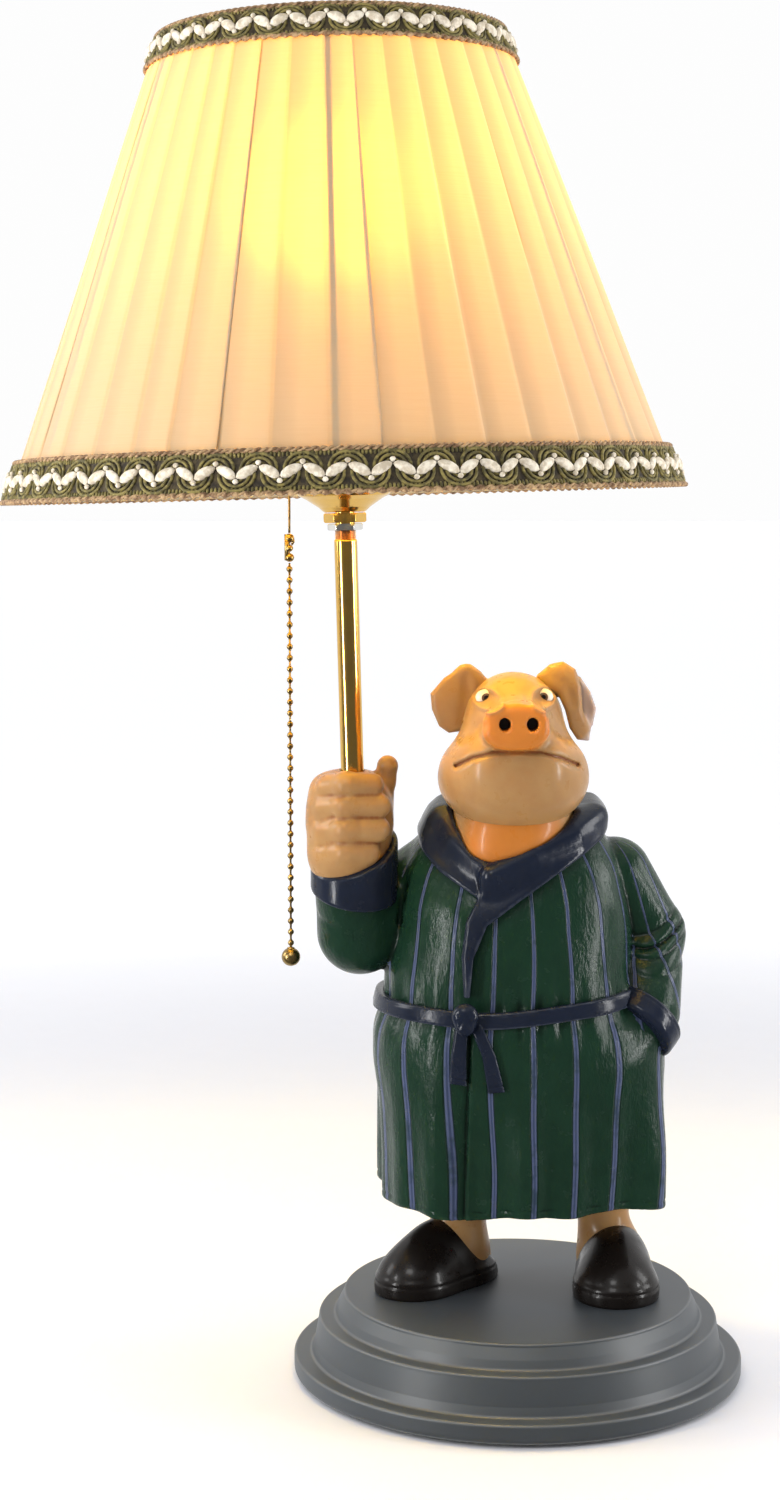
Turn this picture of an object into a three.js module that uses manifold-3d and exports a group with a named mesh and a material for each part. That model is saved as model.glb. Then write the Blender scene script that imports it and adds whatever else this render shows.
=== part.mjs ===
// Figural table lamp: a cast pig in a dressing gown holds up a brass stem, which carries a
// pull-chain lampholder and a pleated empire shade.
// Millimetres, +Z up. The origin is on the table under the centre of the round plinth, and the
// figure faces -Y. Everything on the stem is built in the stem's own leaning frame.
import * as THREE from "three";
import { mergeVertices } from "three/addons/utils/BufferGeometryUtils.js";
import Module from "manifold-3d";

const wasm = await Module();
wasm.setup();

// ---- Driving dimensions ----------------------------------------------------------------------

const GAP = 0.3; // between pieces that touch
const BORE_SIDES = 16;
const SMOOTHING = 0.1; // how far a cut body may be simplified

// Plinth
const PLINTH_TOP = 35.5;
const PLINTH_BOTTOM = 1.6;
const FELT_RADIUS = 90;
const CAVITY_RADIUS = 68;
const CAVITY_TOP = 24;
const COVER_THICKNESS = 2;
const BALLAST_RADIUS = 50;
const BALLAST_BOTTOM = 12.3;
const POST_CIRCLE = 60;
const POST_ANGLES = [-90, 30, 150];
const GROMMET_Z = 17;
const GROMMET_BORE = 3.2;
const GROMMET_HOLE = 4.6;
const GROMMET_FLANGE = 6.1;
const GROMMET_SEAT = 83; // depth of the flat spot-face outside the hole

// Stem and its lean towards -X
const STEM = { x: -72.85, y: -15, z: 371.5 }; // where the axis crosses the shade's lower edge
const LEAN = THREE.MathUtils.degToRad(1.6);
const STEM_RADIUS = 4.75;
const STEM_BORE = 3.4;
const STEM_BOTTOM = -160; // heights on the stem are measured from the shade's lower edge
const STEM_TOP = 4;

// Lampholder, in heights on the stem
const CAP_RADIUS = 19.3;
const SHELL_RADIUS = 18.2;
const SHOULDER = 46;
const HOLDER_TOP = 60;
const CHAIN_OFFSET = 22.2;
const GUIDE_MOUTH = 11.5;

// Bulb
const BULB_RADIUS = 30;
const BULB_CAP_RADIUS = 13.2;

// Shade
const SHADE_HEIGHT = 184.5;
const SHADE_BOTTOM_RADIUS = 137;
const SHADE_TOP_RADIUS = 69.8;
const COVER_WALL = 1.4;
const WIRE = 1.2;
const RIBS = 6;
const FITTER_ARMS = 3;
const BRAID_WALL = 2.2;
const BOTTOM_BRAID = 17.5;
const TOP_BRAID = 15.5;
const SHADE_SIDES = 48;

// Pull chain, hanging plumb
const BEADS = 35;
const BEAD_PITCH = 4.55;
const BEAD_RADIUS = 1.3;
const LINK_RADIUS = 0.45;
const FIRST_BEAD_Z = 341.7;
const PULL_BALL_RADIUS = 4;
const COUPLING = { width: 3.8, depth: 3, bottom: 344.6, top: 356.2 };

// Figure
const LEAD_RADIUS = 1.75;
const CHANNEL_RADIUS = 2.6;
const WAIST_Z = 161.5;

// ---- Solids ------------------------------------------------------------------------------------

// A closed three.js geometry as a manifold solid, moved by an optional matrix.
function solid(geometry, matrix) {
  const g = geometry.clone();
  g.deleteAttribute("normal");
  g.deleteAttribute("uv");
  if (matrix) g.applyMatrix4(matrix);
  const merged = mergeVertices(g, 1e-4);
  return new wasm.Manifold(
    new wasm.Mesh({
      numProp: 3,
      vertProperties: new Float32Array(merged.attributes.position.array),
      triVerts: new Uint32Array(merged.index.array),
    }),
  );
}

function geometryOf(body) {
  const mesh = body.simplify(SMOOTHING).getMesh();
  const geometry = new THREE.BufferGeometry();
  geometry.setAttribute("position", new THREE.BufferAttribute(mesh.vertProperties, 3));
  geometry.setIndex(new THREE.BufferAttribute(mesh.triVerts, 1));
  geometry.computeVertexNormals();
  return geometry;
}

const join = (first, ...rest) => rest.reduce((a, b) => a.add(b), first);
const cut = (first, ...rest) => rest.reduce((a, b) => a.subtract(b), first);

// The largest piece of a cut body: crumbs left by a cut are dropped.
function largest(body) {
  const pieces = body.decompose();
  return pieces.reduce((a, b) => (b.volume() > a.volume() ? b : a));
}

// The space an irregular body needs: the body shifted by the gap along each axis, both ways.
function spread(body) {
  const shifts = [[1, 0, 0], [-1, 0, 0], [0, 1, 0], [0, -1, 0], [0, 0, 1], [0, 0, -1]];
  return join(body, ...shifts.map((d) => body.translate(d.map((v) => v * GAP))));
}

const at = (x, y, z) => new THREE.Matrix4().makeTranslation(x, y, z);

// ---- Shapes --------------------------------------------------------------------------------------

// A body of revolution about +Z from a closed [radius, height] outline or one that starts and ends
// on the axis. The outline runs anticlockwise, with the radius to the right.
function turned(outline, sides) {
  const closed = outline[0][0] > 0;
  const points = outline.map(([r, z]) => new THREE.Vector2(r, z));
  if (closed) points.push(points[0].clone());
  return new THREE.LatheGeometry(points, sides).rotateX(Math.PI / 2);
}

const disc = (radius, bottom, top, sides = 32) =>
  turned([[0, bottom], [radius, bottom], [radius, top], [0, top]], sides);

const tube = (outer, inner, bottom, top, sides = 32) =>
  turned([[inner, bottom], [outer, bottom], [outer, top], [inner, top]], sides);

// A hexagonal nut with a round bore, as a solid.
function nut(acrossCorners, bore, bottom, top) {
  const body = solid(disc(acrossCorners / 2, bottom, top, 6));
  return cut(body, solid(disc(bore, bottom - 1, top + 1, BORE_SIDES)));
}

function ellipsoid(centre, radii, grow = 0, sides = 16) {
  const g = new THREE.SphereGeometry(1, sides, Math.round(sides * 0.6));
  g.scale(radii[0] + grow, radii[2] + grow, radii[1] + grow).rotateX(Math.PI / 2);
  return solid(g.translate(...centre));
}

// A round-ended limb between two points.
function limb(from, to, radius, grow = 0, sides = 14) {
  const a = new THREE.Vector3(...from);
  const b = new THREE.Vector3(...to);
  const g = new THREE.CapsuleGeometry(radius + grow, a.distanceTo(b), 3, sides);
  const turn = new THREE.Quaternion().setFromUnitVectors(
    new THREE.Vector3(0, 1, 0),
    b.clone().sub(a).normalize(),
  );
  const middle = a.clone().add(b).multiplyScalar(0.5);
  return solid(g, new THREE.Matrix4().compose(middle, turn, new THREE.Vector3(1, 1, 1)));
}

// A straight rod of square-ended round section between two points.
function rod(from, to, radius, sides = 10) {
  const a = new THREE.Vector3(...from);
  const b = new THREE.Vector3(...to);
  const g = new THREE.CylinderGeometry(radius, radius, a.distanceTo(b), sides);
  const turn = new THREE.Quaternion().setFromUnitVectors(
    new THREE.Vector3(0, 1, 0),
    b.clone().sub(a).normalize(),
  );
  const middle = a.clone().add(b).multiplyScalar(0.5);
  return solid(g, new THREE.Matrix4().compose(middle, turn, new THREE.Vector3(1, 1, 1)));
}

// A round section swept along a smooth curve through points.
function swept(points, radius, steps, sides = 6) {
  const path = new THREE.CatmullRomCurve3(points.map((p) => new THREE.Vector3(...p)));
  const section = new THREE.Shape();
  for (let i = 0; i < sides; i++) {
    const angle = (2 * Math.PI * i) / sides;
    const [x, y] = [radius * Math.cos(angle), radius * Math.sin(angle)];
    if (i) section.lineTo(x, y);
    else section.moveTo(x, y);
  }
  return solid(new THREE.ExtrudeGeometry(section, { steps, extrudePath: path }));
}

// A flat outline in X and Z, carried along Y between two depths.
function prism(outline, near, far) {
  const shape = new THREE.Shape(outline.map(([x, z]) => new THREE.Vector2(x, z)));
  const g = new THREE.ExtrudeGeometry(shape, { depth: far - near, bevelEnabled: false });
  return solid(g.rotateX(Math.PI / 2).translate(0, far, 0));
}

// A smooth stack of egg-shaped sections. Each ring is [z, centre x, half width, front, back],
// where front and back are the section's depths towards -Y and +Y.
function stack(rings, grow, sides, layers, squareness = 2.3) {
  const curve = (column) => {
    const points = rings.map((r, i) => new THREE.Vector2(i, r[column]));
    return new THREE.SplineCurve(points);
  };
  const columns = rings[0].map((_, i) => curve(i));
  const positions = [];
  for (let k = 0; k <= layers; k++) {
    const [z, cx, half, front, back] = columns.map((c) => c.getPoint(k / layers).y);
    const end = k === 0 ? -grow : k === layers ? grow : 0;
    for (let i = 0; i < sides; i++) {
      const angle = (2 * Math.PI * i) / sides;
      const [c, s] = [Math.cos(angle), Math.sin(angle)];
      const pull = (Math.abs(c) ** squareness + Math.abs(s) ** squareness) ** (-1 / squareness);
      const depth = s < 0 ? front : back;
      positions.push(cx + (half + grow) * c * pull, (depth + grow) * s * pull, z + end);
    }
  }
  const index = [];
  for (let k = 0; k < layers; k++)
    for (let i = 0; i < sides; i++) {
      const j = (i + 1) % sides;
      const [a, b, c, d] = [k * sides + i, k * sides + j, (k + 1) * sides + j, (k + 1) * sides + i];
      index.push(a, b, c, a, c, d);
    }
  const top = layers * sides;
  for (let i = 1; i < sides - 1; i++) {
    index.push(0, i + 1, i);
    index.push(top, top + i, top + i + 1);
  }
  const g = new THREE.BufferGeometry();
  g.setAttribute("position", new THREE.Float32BufferAttribute(positions, 3));
  g.setIndex(index);
  return solid(g);
}

// ---- Materials -----------------------------------------------------------------------------------

const paint = (color, roughness, metalness = 0) =>
  new THREE.MeshStandardMaterial({ color, roughness, metalness });

const MATERIALS = {
  slate: paint(0x53585e, 0.5),
  skin: paint(0xd9a878, 0.45),
  robe: paint(0x1d4030, 0.35),
  navy: paint(0x262b3c, 0.35),
  leather: paint(0x17130f, 0.25),
  brass: paint(0xc79a3a, 0.18, 1),
  steel: paint(0xb9b9b4, 0.25, 1),
  iron: paint(0x4a4a4c, 0.6, 1),
  shadeCloth: paint(0xf3dfae, 0.9),
  braid: paint(0x4c4a26, 0.9),
  wire: paint(0xe4e0d4, 0.4),
  porcelain: paint(0xf1eee6, 0.25),
  card: paint(0x3d342a, 0.9),
  opal: paint(0xfff2cf, 0.3),
  felt: paint(0x22281f, 1),
  board: paint(0x5b452f, 0.8),
  rubber: paint(0x151515, 0.7),
  lead: paint(0xcdb98a, 0.6),
};

function piece(parent, name, shape, material) {
  const geometry = shape.isBufferGeometry ? shape : geometryOf(shape);
  const mesh = new THREE.Mesh(geometry, material);
  mesh.name = name;
  parent.add(mesh);
  return mesh;
}

// ---- The lamp's frames ---------------------------------------------------------------------------

const lamp = new THREE.Group();
const stand = new THREE.Group();
const figure = new THREE.Group();
const stem = new THREE.Group();
const shade = new THREE.Group();
const pull = new THREE.Group();
lamp.add(stand, figure, stem, pull);
stem.add(shade);
stem.position.set(STEM.x, STEM.y, STEM.z);
stem.rotation.y = -LEAN;
stem.updateMatrixWorld(true);

// A point on the stem, in the row's frame.
const onStem = (x, y, height) =>
  new THREE.Vector3(x, y, height).applyMatrix4(stem.matrixWorld).toArray();

// ---- Electric lead, and the channel that the castings keep open for it ------------------------------

const TERMINAL = { x: 0, y: 57.5, width: 22, depth: 9, bottom: 4.1, top: 14 };
const LEG_LEFT = { x: -24, y: 14, radius: 12.2 };
const LEG_RIGHT = { x: 37.5, y: 13, radius: 11.4 };

const leadRoute = [
  onStem(0, 0, 12),
  onStem(0, 0, -60),
  onStem(0, 0, STEM_BOTTOM - 4),
  [-66.5, -13, 196],
  [-56, -8, 182],
  [-40, 2, 165],
  [-27, 12, 130],
  [LEG_LEFT.x, LEG_LEFT.y, 80],
  [LEG_LEFT.x, LEG_LEFT.y, 30],
  [LEG_LEFT.x, LEG_LEFT.y + 1, 13],
  [LEG_LEFT.x + 2, LEG_LEFT.y + 14, 8],
  [TERMINAL.x - 18, TERMINAL.y - 6, 8],
  [TERMINAL.x - TERMINAL.width / 2 - 1.5, TERMINAL.y, 9],
];
const lead = swept(leadRoute, LEAD_RADIUS, 40);
const leadChannel = swept(leadRoute, CHANNEL_RADIUS, 40);

// ---- Plinth ------------------------------------------------------------------------------------------

function buildStand() {
  const outline = [
    [0, CAVITY_TOP],
    [CAVITY_RADIUS, CAVITY_TOP],
    [CAVITY_RADIUS, PLINTH_BOTTOM],
    [93, PLINTH_BOTTOM],
    [95, 4],
    [94.3, 9],
    [92.6, 10],
    [86.5, 10.6],
    [84.4, 15],
    [83.4, 24],
    [82, 25.8],
    [76, 26.6],
    [73.8, 30],
    [73, 34.3],
    [71.6, PLINTH_TOP],
    [0, PLINTH_TOP],
  ];
  const posts = POST_ANGLES.map((degrees) => {
    const angle = THREE.MathUtils.degToRad(degrees);
    return [POST_CIRCLE * Math.cos(angle), POST_CIRCLE * Math.sin(angle)];
  });
  const coverTop = PLINTH_BOTTOM + GAP + COVER_THICKNESS;
  let plinth = solid(turned(outline, 40));
  for (const [x, y] of posts)
    plinth = plinth.add(solid(disc(4.5, coverTop + GAP, CAVITY_TOP + 1, 10), at(x, y, 0)));
  for (const [x, y] of posts)
    plinth = plinth.subtract(solid(disc(1.6, 1, 13, 8), at(x, y, 0)));
  const radialHole = rod([0, 55, GROMMET_Z], [0, 110, GROMMET_Z], GROMMET_HOLE + GAP, BORE_SIDES);
  const spotFace = rod(
    [0, GROMMET_SEAT, GROMMET_Z], [0, 110, GROMMET_Z], GROMMET_FLANGE + GAP, BORE_SIDES,
  );
  const screwHoles = figureScrews().map(([x, y]) => solid(disc(2.8, 10, 50, 12), at(x, y, 0)));
  plinth = cut(plinth, radialHole, spotFace, leadChannel, ...screwHoles);
  piece(stand, "plinth", plinth, MATERIALS.slate);

  piece(stand, "felt_pad", disc(FELT_RADIUS, 0, PLINTH_BOTTOM - GAP, 40), MATERIALS.felt);

  let cover = solid(disc(CAVITY_RADIUS - 2 * GAP, PLINTH_BOTTOM + GAP, coverTop, 40));
  for (const [x, y] of posts) cover = cover.subtract(solid(disc(1.9, 1, 6, 8), at(x, y, 0)));
  for (const [x, y] of posts)
    cover = cover.subtract(solid(disc(3.3, 1, PLINTH_BOTTOM + 1.5, 8), at(x, y, 0)));
  piece(stand, "bottom_cover", cover, MATERIALS.board);

  posts.forEach(([x, y], i) => {
    const screw = turned([[0, 1.9], [2.9, 1.9], [2.9, 2.8], [1.3, 2.9], [1.3, 11], [0, 12.4]], 8);
    piece(stand, `cover_screw_${i + 1}`, screw, MATERIALS.steel).position.set(x, y, 0);
  });

  let ballast = solid(disc(BALLAST_RADIUS, BALLAST_BOTTOM, CAVITY_TOP - GAP, 40));
  for (const [x, y] of figureScrews())
    ballast = ballast.subtract(solid(disc(2.8, 10, 30, 12), at(x, y, 0)));
  const leadHole = solid(disc(7, 5, 30, 14), at(LEG_LEFT.x, LEG_LEFT.y + 2, 0));
  piece(stand, "ballast_disc", cut(ballast, leadHole), MATERIALS.iron);

  ["left", "right"].forEach((side, i) => {
    const [x, y, tip] = figureScrews()[i];
    const head = BALLAST_BOTTOM - GAP;
    const screw = [
      [0, head - 3.2], [4, head - 3.2], [4.8, head - 2.4], [4.8, head],
      [2.4, head], [2.4, tip - 2], [0, tip],
    ];
    piece(stand, `figure_screw_${side}`, turned(screw, 16), MATERIALS.steel).position.set(x, y, 0);
  });

  const innerWall = CAVITY_RADIUS - 1;
  const grommet = [
    [GROMMET_BORE, innerWall - 2.4], [GROMMET_FLANGE, innerWall - 2],
    [GROMMET_FLANGE, innerWall], [GROMMET_HOLE, innerWall],
    [GROMMET_HOLE, GROMMET_SEAT + GAP], [GROMMET_FLANGE, GROMMET_SEAT + GAP],
    [GROMMET_FLANGE - 0.4, GROMMET_SEAT + 2.6], [GROMMET_BORE, GROMMET_SEAT + 3.4],
  ];
  const fitted = piece(stand, "cord_grommet", turned(grommet, BORE_SIDES), MATERIALS.rubber);
  fitted.rotation.x = -Math.PI / 2;
  fitted.position.z = GROMMET_Z;

  const block = new THREE.BoxGeometry(TERMINAL.width, TERMINAL.depth, TERMINAL.top - TERMINAL.bottom);
  piece(stand, "terminal_block", block, MATERIALS.porcelain).position.set(
    TERMINAL.x, TERMINAL.y, (TERMINAL.top + TERMINAL.bottom) / 2,
  );
}

// Where the screws that hold the figure rise, and how high their tips reach.
function figureScrews() {
  return [
    [-41, -2, 47],
    [37.5, 8, 52],
  ];
}

// ---- Figure ------------------------------------------------------------------------------------------

// Sections of the dressing gown from hem to shoulders: [z, centre x, half width, front, back].
const GOWN = [
  [80, 1.5, 58, 44, 43],
  [100, 1.5, 58.5, 45, 44],
  [120, 0.6, 60.3, 47, 46],
  [138, 0, 62.2, 48, 47],
  [150, -1.4, 60, 48, 46],
  [WAIST_Z, -3, 54.6, 46, 44],
  [172, -4, 52.8, 46, 43],
  [188, -4, 51, 45, 42],
  [204, -4, 49, 42, 40],
  [219, -3.5, 46, 36, 36],
  [231, -3, 39, 28, 30],
  [241, -2.5, 27, 19, 22],
  [246, -2.5, 13, 9, 11],
];
const gown = (grow) => stack(GOWN, grow, 28, 12);

const NECK = { centre: [-3.5, -15, 236], radii: [25, 26, 20] };

// A layer of the given thickness laid on the gown's front, inside a flat outline.
function laidOnGown(outline, thickness) {
  const layer = cut(gown(GAP + thickness), gown(GAP));
  return largest(layer.intersect(prism(outline, -80, 0)));
}

function head(grow) {
  const jowls = ellipsoid([-3.7, -22, 253], [30.4, 30, 23.5], grow);
  const cranium = ellipsoid([-3.4, -15, 278], [21.5, 25, 21], grow);
  const snout = limb([-3.3, -34, 276], [-3.3, -53, 280.5], 11.5, grow);
  return join(jowls, cranium, snout);
}

function raisedSleeve(grow) {
  const elbow = [-67.5, -10, 190.5];
  return join(
    limb(elbow, [-68.2, -13.5, 206], 17.6, grow),
    limb(elbow, [-42, 4, 212], 17, grow),
  );
}

const RAISED_CUFF = { z: 214.5, radius: 18, height: 17 };

function pocketSleeve(grow) {
  return join(
    limb([40, 4, 214], [54.5, 4, 188], 15, grow),
    limb([54.5, 4, 188], [51, -16, 168], 14.2, grow),
  );
}

function slipper(grow, length, width, height) {
  const sole = ellipsoid([0, 0, 0], [width / 2, length / 2, height * 0.62], grow, 16);
  const toe = ellipsoid([0, -length * 0.14, 1], [width / 2, length * 0.36, height], grow, 16);
  const floor = solid(new THREE.BoxGeometry(200, 200, 100), at(0, 0, -50));
  return cut(join(sole, toe), floor);
}

function placed(body, x, y, z, degrees) {
  const turn = new THREE.Matrix4().makeRotationZ(THREE.MathUtils.degToRad(degrees));
  return solid(geometryOf(body), at(x, y, z).multiply(turn));
}

function leg(place, grow, bottom) {
  return solid(disc(place.radius + grow, bottom, 79.6 + grow, 24), at(place.x, place.y, 0));
}

function neckSpace() {
  return ellipsoid(NECK.centre, NECK.radii, GAP);
}

function buildHeadAndRobe() {
  const neck = cut(ellipsoid(NECK.centre, NECK.radii), head(GAP));
  piece(figure, "head", largest(head(0)), MATERIALS.skin);
  piece(figure, "neck", largest(neck), MATERIALS.skin);

  const gownBody = cut(gown(0), neckSpace(), head(GAP), leadChannel);
  piece(figure, "robe", largest(gownBody), MATERIALS.robe);
}

// Shawl collar: front lapels inside their outline, and a band round the back of the neck.
// Returns the space the collar takes up, for the parts that meet it.
function buildCollar() {
  const lapels = [
    [-30, 247], [-44, 233], [-37, 207], [-21, 202], [-25.5, 172], [-22.5, 172],
    [-14, 193], [15, 220], [40, 231], [30, 247],
  ];
  const layer = cut(gown(GAP + 4), gown(GAP));
  const front = layer.intersect(prism(lapels, -80, 0));
  const back = layer.intersect(prism([[-46, 227], [42, 227], [32, 262], [-36, 262]], -0.01, 80));
  const opening = prism([[-13, 221], [24, 251], [20, 275], [-28, 275], [-29, 249]], -80, 0);
  const collar = largest(cut(join(front, back), opening, neckSpace(), head(GAP)));
  piece(figure, "shawl_collar", collar, MATERIALS.navy);
  return spread(collar);
}

// Belt, its knot and its two hanging ends. Returns the belt.
function buildBelt(collarSpace) {
  const knotShape = (grow) => ellipsoid([-23.8, -48.5, 162.5], [5.6, 4.6, 5.8], grow, 16);
  const slab = solid(new THREE.BoxGeometry(200, 200, 6.8), at(0, 0, WAIST_Z));
  const beltLayer = cut(gown(GAP + 2.6), gown(GAP)).intersect(slab);
  const lapelTip = prism([[-26.5, 200], [-26.5, 171], [-21, 171], [-12, 200]], -80, 0);
  const belt = largest(
    cut(beltLayer, knotShape(GAP), pocketSleeve(GAP), raisedSleeve(GAP), lapelTip),
  );
  piece(figure, "belt", belt, MATERIALS.navy);
  piece(figure, "belt_knot", largest(cut(knotShape(0), gown(GAP), collarSpace)), MATERIALS.navy);
  const belowBelt = WAIST_Z - 3.4 - GAP;
  const longEnd = [[-28.5, belowBelt], [-29.8, 135], [-23.4, 134.4], [-23, belowBelt]];
  const shortEnd = [[-21, belowBelt], [-14.5, 131], [-8.4, 132], [-15.5, belowBelt]];
  piece(
    figure, "belt_end_left",
    largest(cut(laidOnGown(longEnd, 2.4), knotShape(GAP))), MATERIALS.navy,
  );
  piece(
    figure, "belt_end_right",
    largest(cut(laidOnGown(shortEnd, 2.4), knotShape(GAP))), MATERIALS.navy,
  );
  return belt;
}

// Ears: two soft flaps rooted on top of the head.
function buildEars() {
  const earLeft = join(
    ellipsoid([-24.5, -9, 292], [8.5, 7, 9.5], 0, 12),
    ellipsoid([-31, -9, 284.5], [7, 5.5, 10], 0, 12),
  );
  const earRight = join(
    ellipsoid([17.5, -11, 292], [8, 7.5, 10.5], 0, 12),
    ellipsoid([23.5, -9, 280], [6.8, 8, 11], 0, 12),
  );
  piece(figure, "ear_left", largest(cut(earLeft, head(GAP))), MATERIALS.skin);
  piece(figure, "ear_right", largest(cut(earRight, head(GAP))), MATERIALS.skin);
}

// Raised arm: sleeve, turned-back cuff and the fist that grips the stem.
function buildRaisedArm(collarSpace) {
  const stemSpace = solid(disc(STEM_RADIUS + GAP, STEM_BOTTOM - 1, 0, BORE_SIDES), stem.matrixWorld);
  const cuffAt = onStem(0.6, 0.5, 0);
  const lower = RAISED_CUFF.z - RAISED_CUFF.height / 2;
  const upper = RAISED_CUFF.z + RAISED_CUFF.height / 2;
  const tilt = new THREE.Matrix4().makeRotationY(THREE.MathUtils.degToRad(-6));
  const cuffPlace = at(-68.6, cuffAt[1], RAISED_CUFF.z).multiply(tilt);
  const cuffOutline = [
    [0, lower], [RAISED_CUFF.radius - 1.5, lower], [RAISED_CUFF.radius, lower + 3],
    [RAISED_CUFF.radius, upper - 2], [RAISED_CUFF.radius - 1.6, upper],
    [RAISED_CUFF.radius - 3.4, upper - 2], [RAISED_CUFF.radius - 4.5, RAISED_CUFF.z],
    [0, RAISED_CUFF.z],
  ].map(([r, z]) => [r, z - RAISED_CUFF.z]);
  const cuffBody = solid(turned(cuffOutline, 20), cuffPlace);
  const sleeveTop = solid(disc(60, RAISED_CUFF.height / -2 - GAP, 60, 6), cuffPlace);
  const sleeve = cut(
    raisedSleeve(0), sleeveTop, gown(GAP), collarSpace, leadChannel, stemSpace,
  );
  piece(figure, "raised_sleeve", largest(sleeve), MATERIALS.robe);
  piece(
    figure, "raised_cuff",
    largest(cut(cuffBody, gown(GAP), leadChannel, stemSpace, collarSpace)), MATERIALS.navy,
  );
  const palm = ellipsoid([-70.8, -16, 238], [17.3, 17, 20.5], 0, 14);
  const knuckles = [0, 1, 2, 3].map((i) =>
    limb([-81.5, -27, 252 - 9.2 * i], [-61.5, -28.5, 253 - 9.2 * i], 5.4 - 0.3 * i, 0, 8),
  );
  const thumb = limb([-60, -12, 243], [-55.8, -14, 260.5], 4.4, 0, 8);
  const insideCuff = solid(
    disc(RAISED_CUFF.radius - 4.8, GAP, 60, 28), cuffPlace,
  );
  const aboveCuff = solid(disc(60, RAISED_CUFF.height / 2 + GAP, 90, 6), cuffPlace);
  const hand = cut(
    join(palm, thumb, ...knuckles).intersect(join(insideCuff, aboveCuff)),
    stemSpace, leadChannel,
  );
  piece(figure, "raised_hand", largest(hand), MATERIALS.skin);
}

// Pocketed arm: sleeve and the cuff that stands proud of the pocket.
function buildPocketArm(collarSpace, belt) {
  const wristAxis = new THREE.Vector3(-0.42, -0.62, -0.66).normalize();
  const turn = new THREE.Quaternion().setFromUnitVectors(new THREE.Vector3(0, 0, 1), wristAxis);
  const wrist = new THREE.Matrix4().compose(
    new THREE.Vector3(52.5, -15, 164), turn, new THREE.Vector3(1, 1, 1),
  );
  const cuffRing = solid(disc(16.2, -4.5, 4.5, 28), wrist);
  const past = solid(disc(60, -4.5 - GAP, 80, 6), wrist); // beyond the sleeve's end
  const sleeveOfPocket = cut(pocketSleeve(0), past, gown(GAP), collarSpace);
  piece(figure, "pocket_sleeve", largest(sleeveOfPocket), MATERIALS.robe);
  const cuffOfPocket = cut(cuffRing, gown(GAP), spread(belt));
  piece(figure, "pocket_cuff", largest(cuffOfPocket), MATERIALS.navy);
}

// Bare legs standing in leather slippers.
function buildLegs() {
  const slipperLeft = placed(slipper(0, 62, 29, 24), -29.5, 9, PLINTH_TOP + GAP, -42);
  const slipperRight = placed(slipper(0, 64, 32, 25), 41.5, 4, PLINTH_TOP + GAP, 4);
  const holes = figureScrews().map(([x, y]) => solid(disc(2.8, 10, 54, 12), at(x, y, 0)));
  const footing = PLINTH_TOP + 6;
  piece(figure, "leg_left", cut(leg(LEG_LEFT, 0, footing), leadChannel), MATERIALS.skin);
  piece(figure, "leg_right", cut(leg(LEG_RIGHT, 0, footing), ...holes), MATERIALS.skin);
  piece(
    figure, "slipper_left",
    largest(cut(slipperLeft, leg(LEG_LEFT, GAP, footing - GAP), leadChannel, ...holes)),
    MATERIALS.leather,
  );
  piece(
    figure, "slipper_right",
    largest(cut(slipperRight, leg(LEG_RIGHT, GAP, footing - GAP), ...holes)), MATERIALS.leather,
  );
}

function buildFigure() {
  buildHeadAndRobe();
  const collarSpace = buildCollar();
  const belt = buildBelt(collarSpace);
  buildEars();
  buildRaisedArm(collarSpace);
  buildPocketArm(collarSpace, belt);
  buildLegs();
}

// ---- Stem and lampholder --------------------------------------------------------------------------

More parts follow.
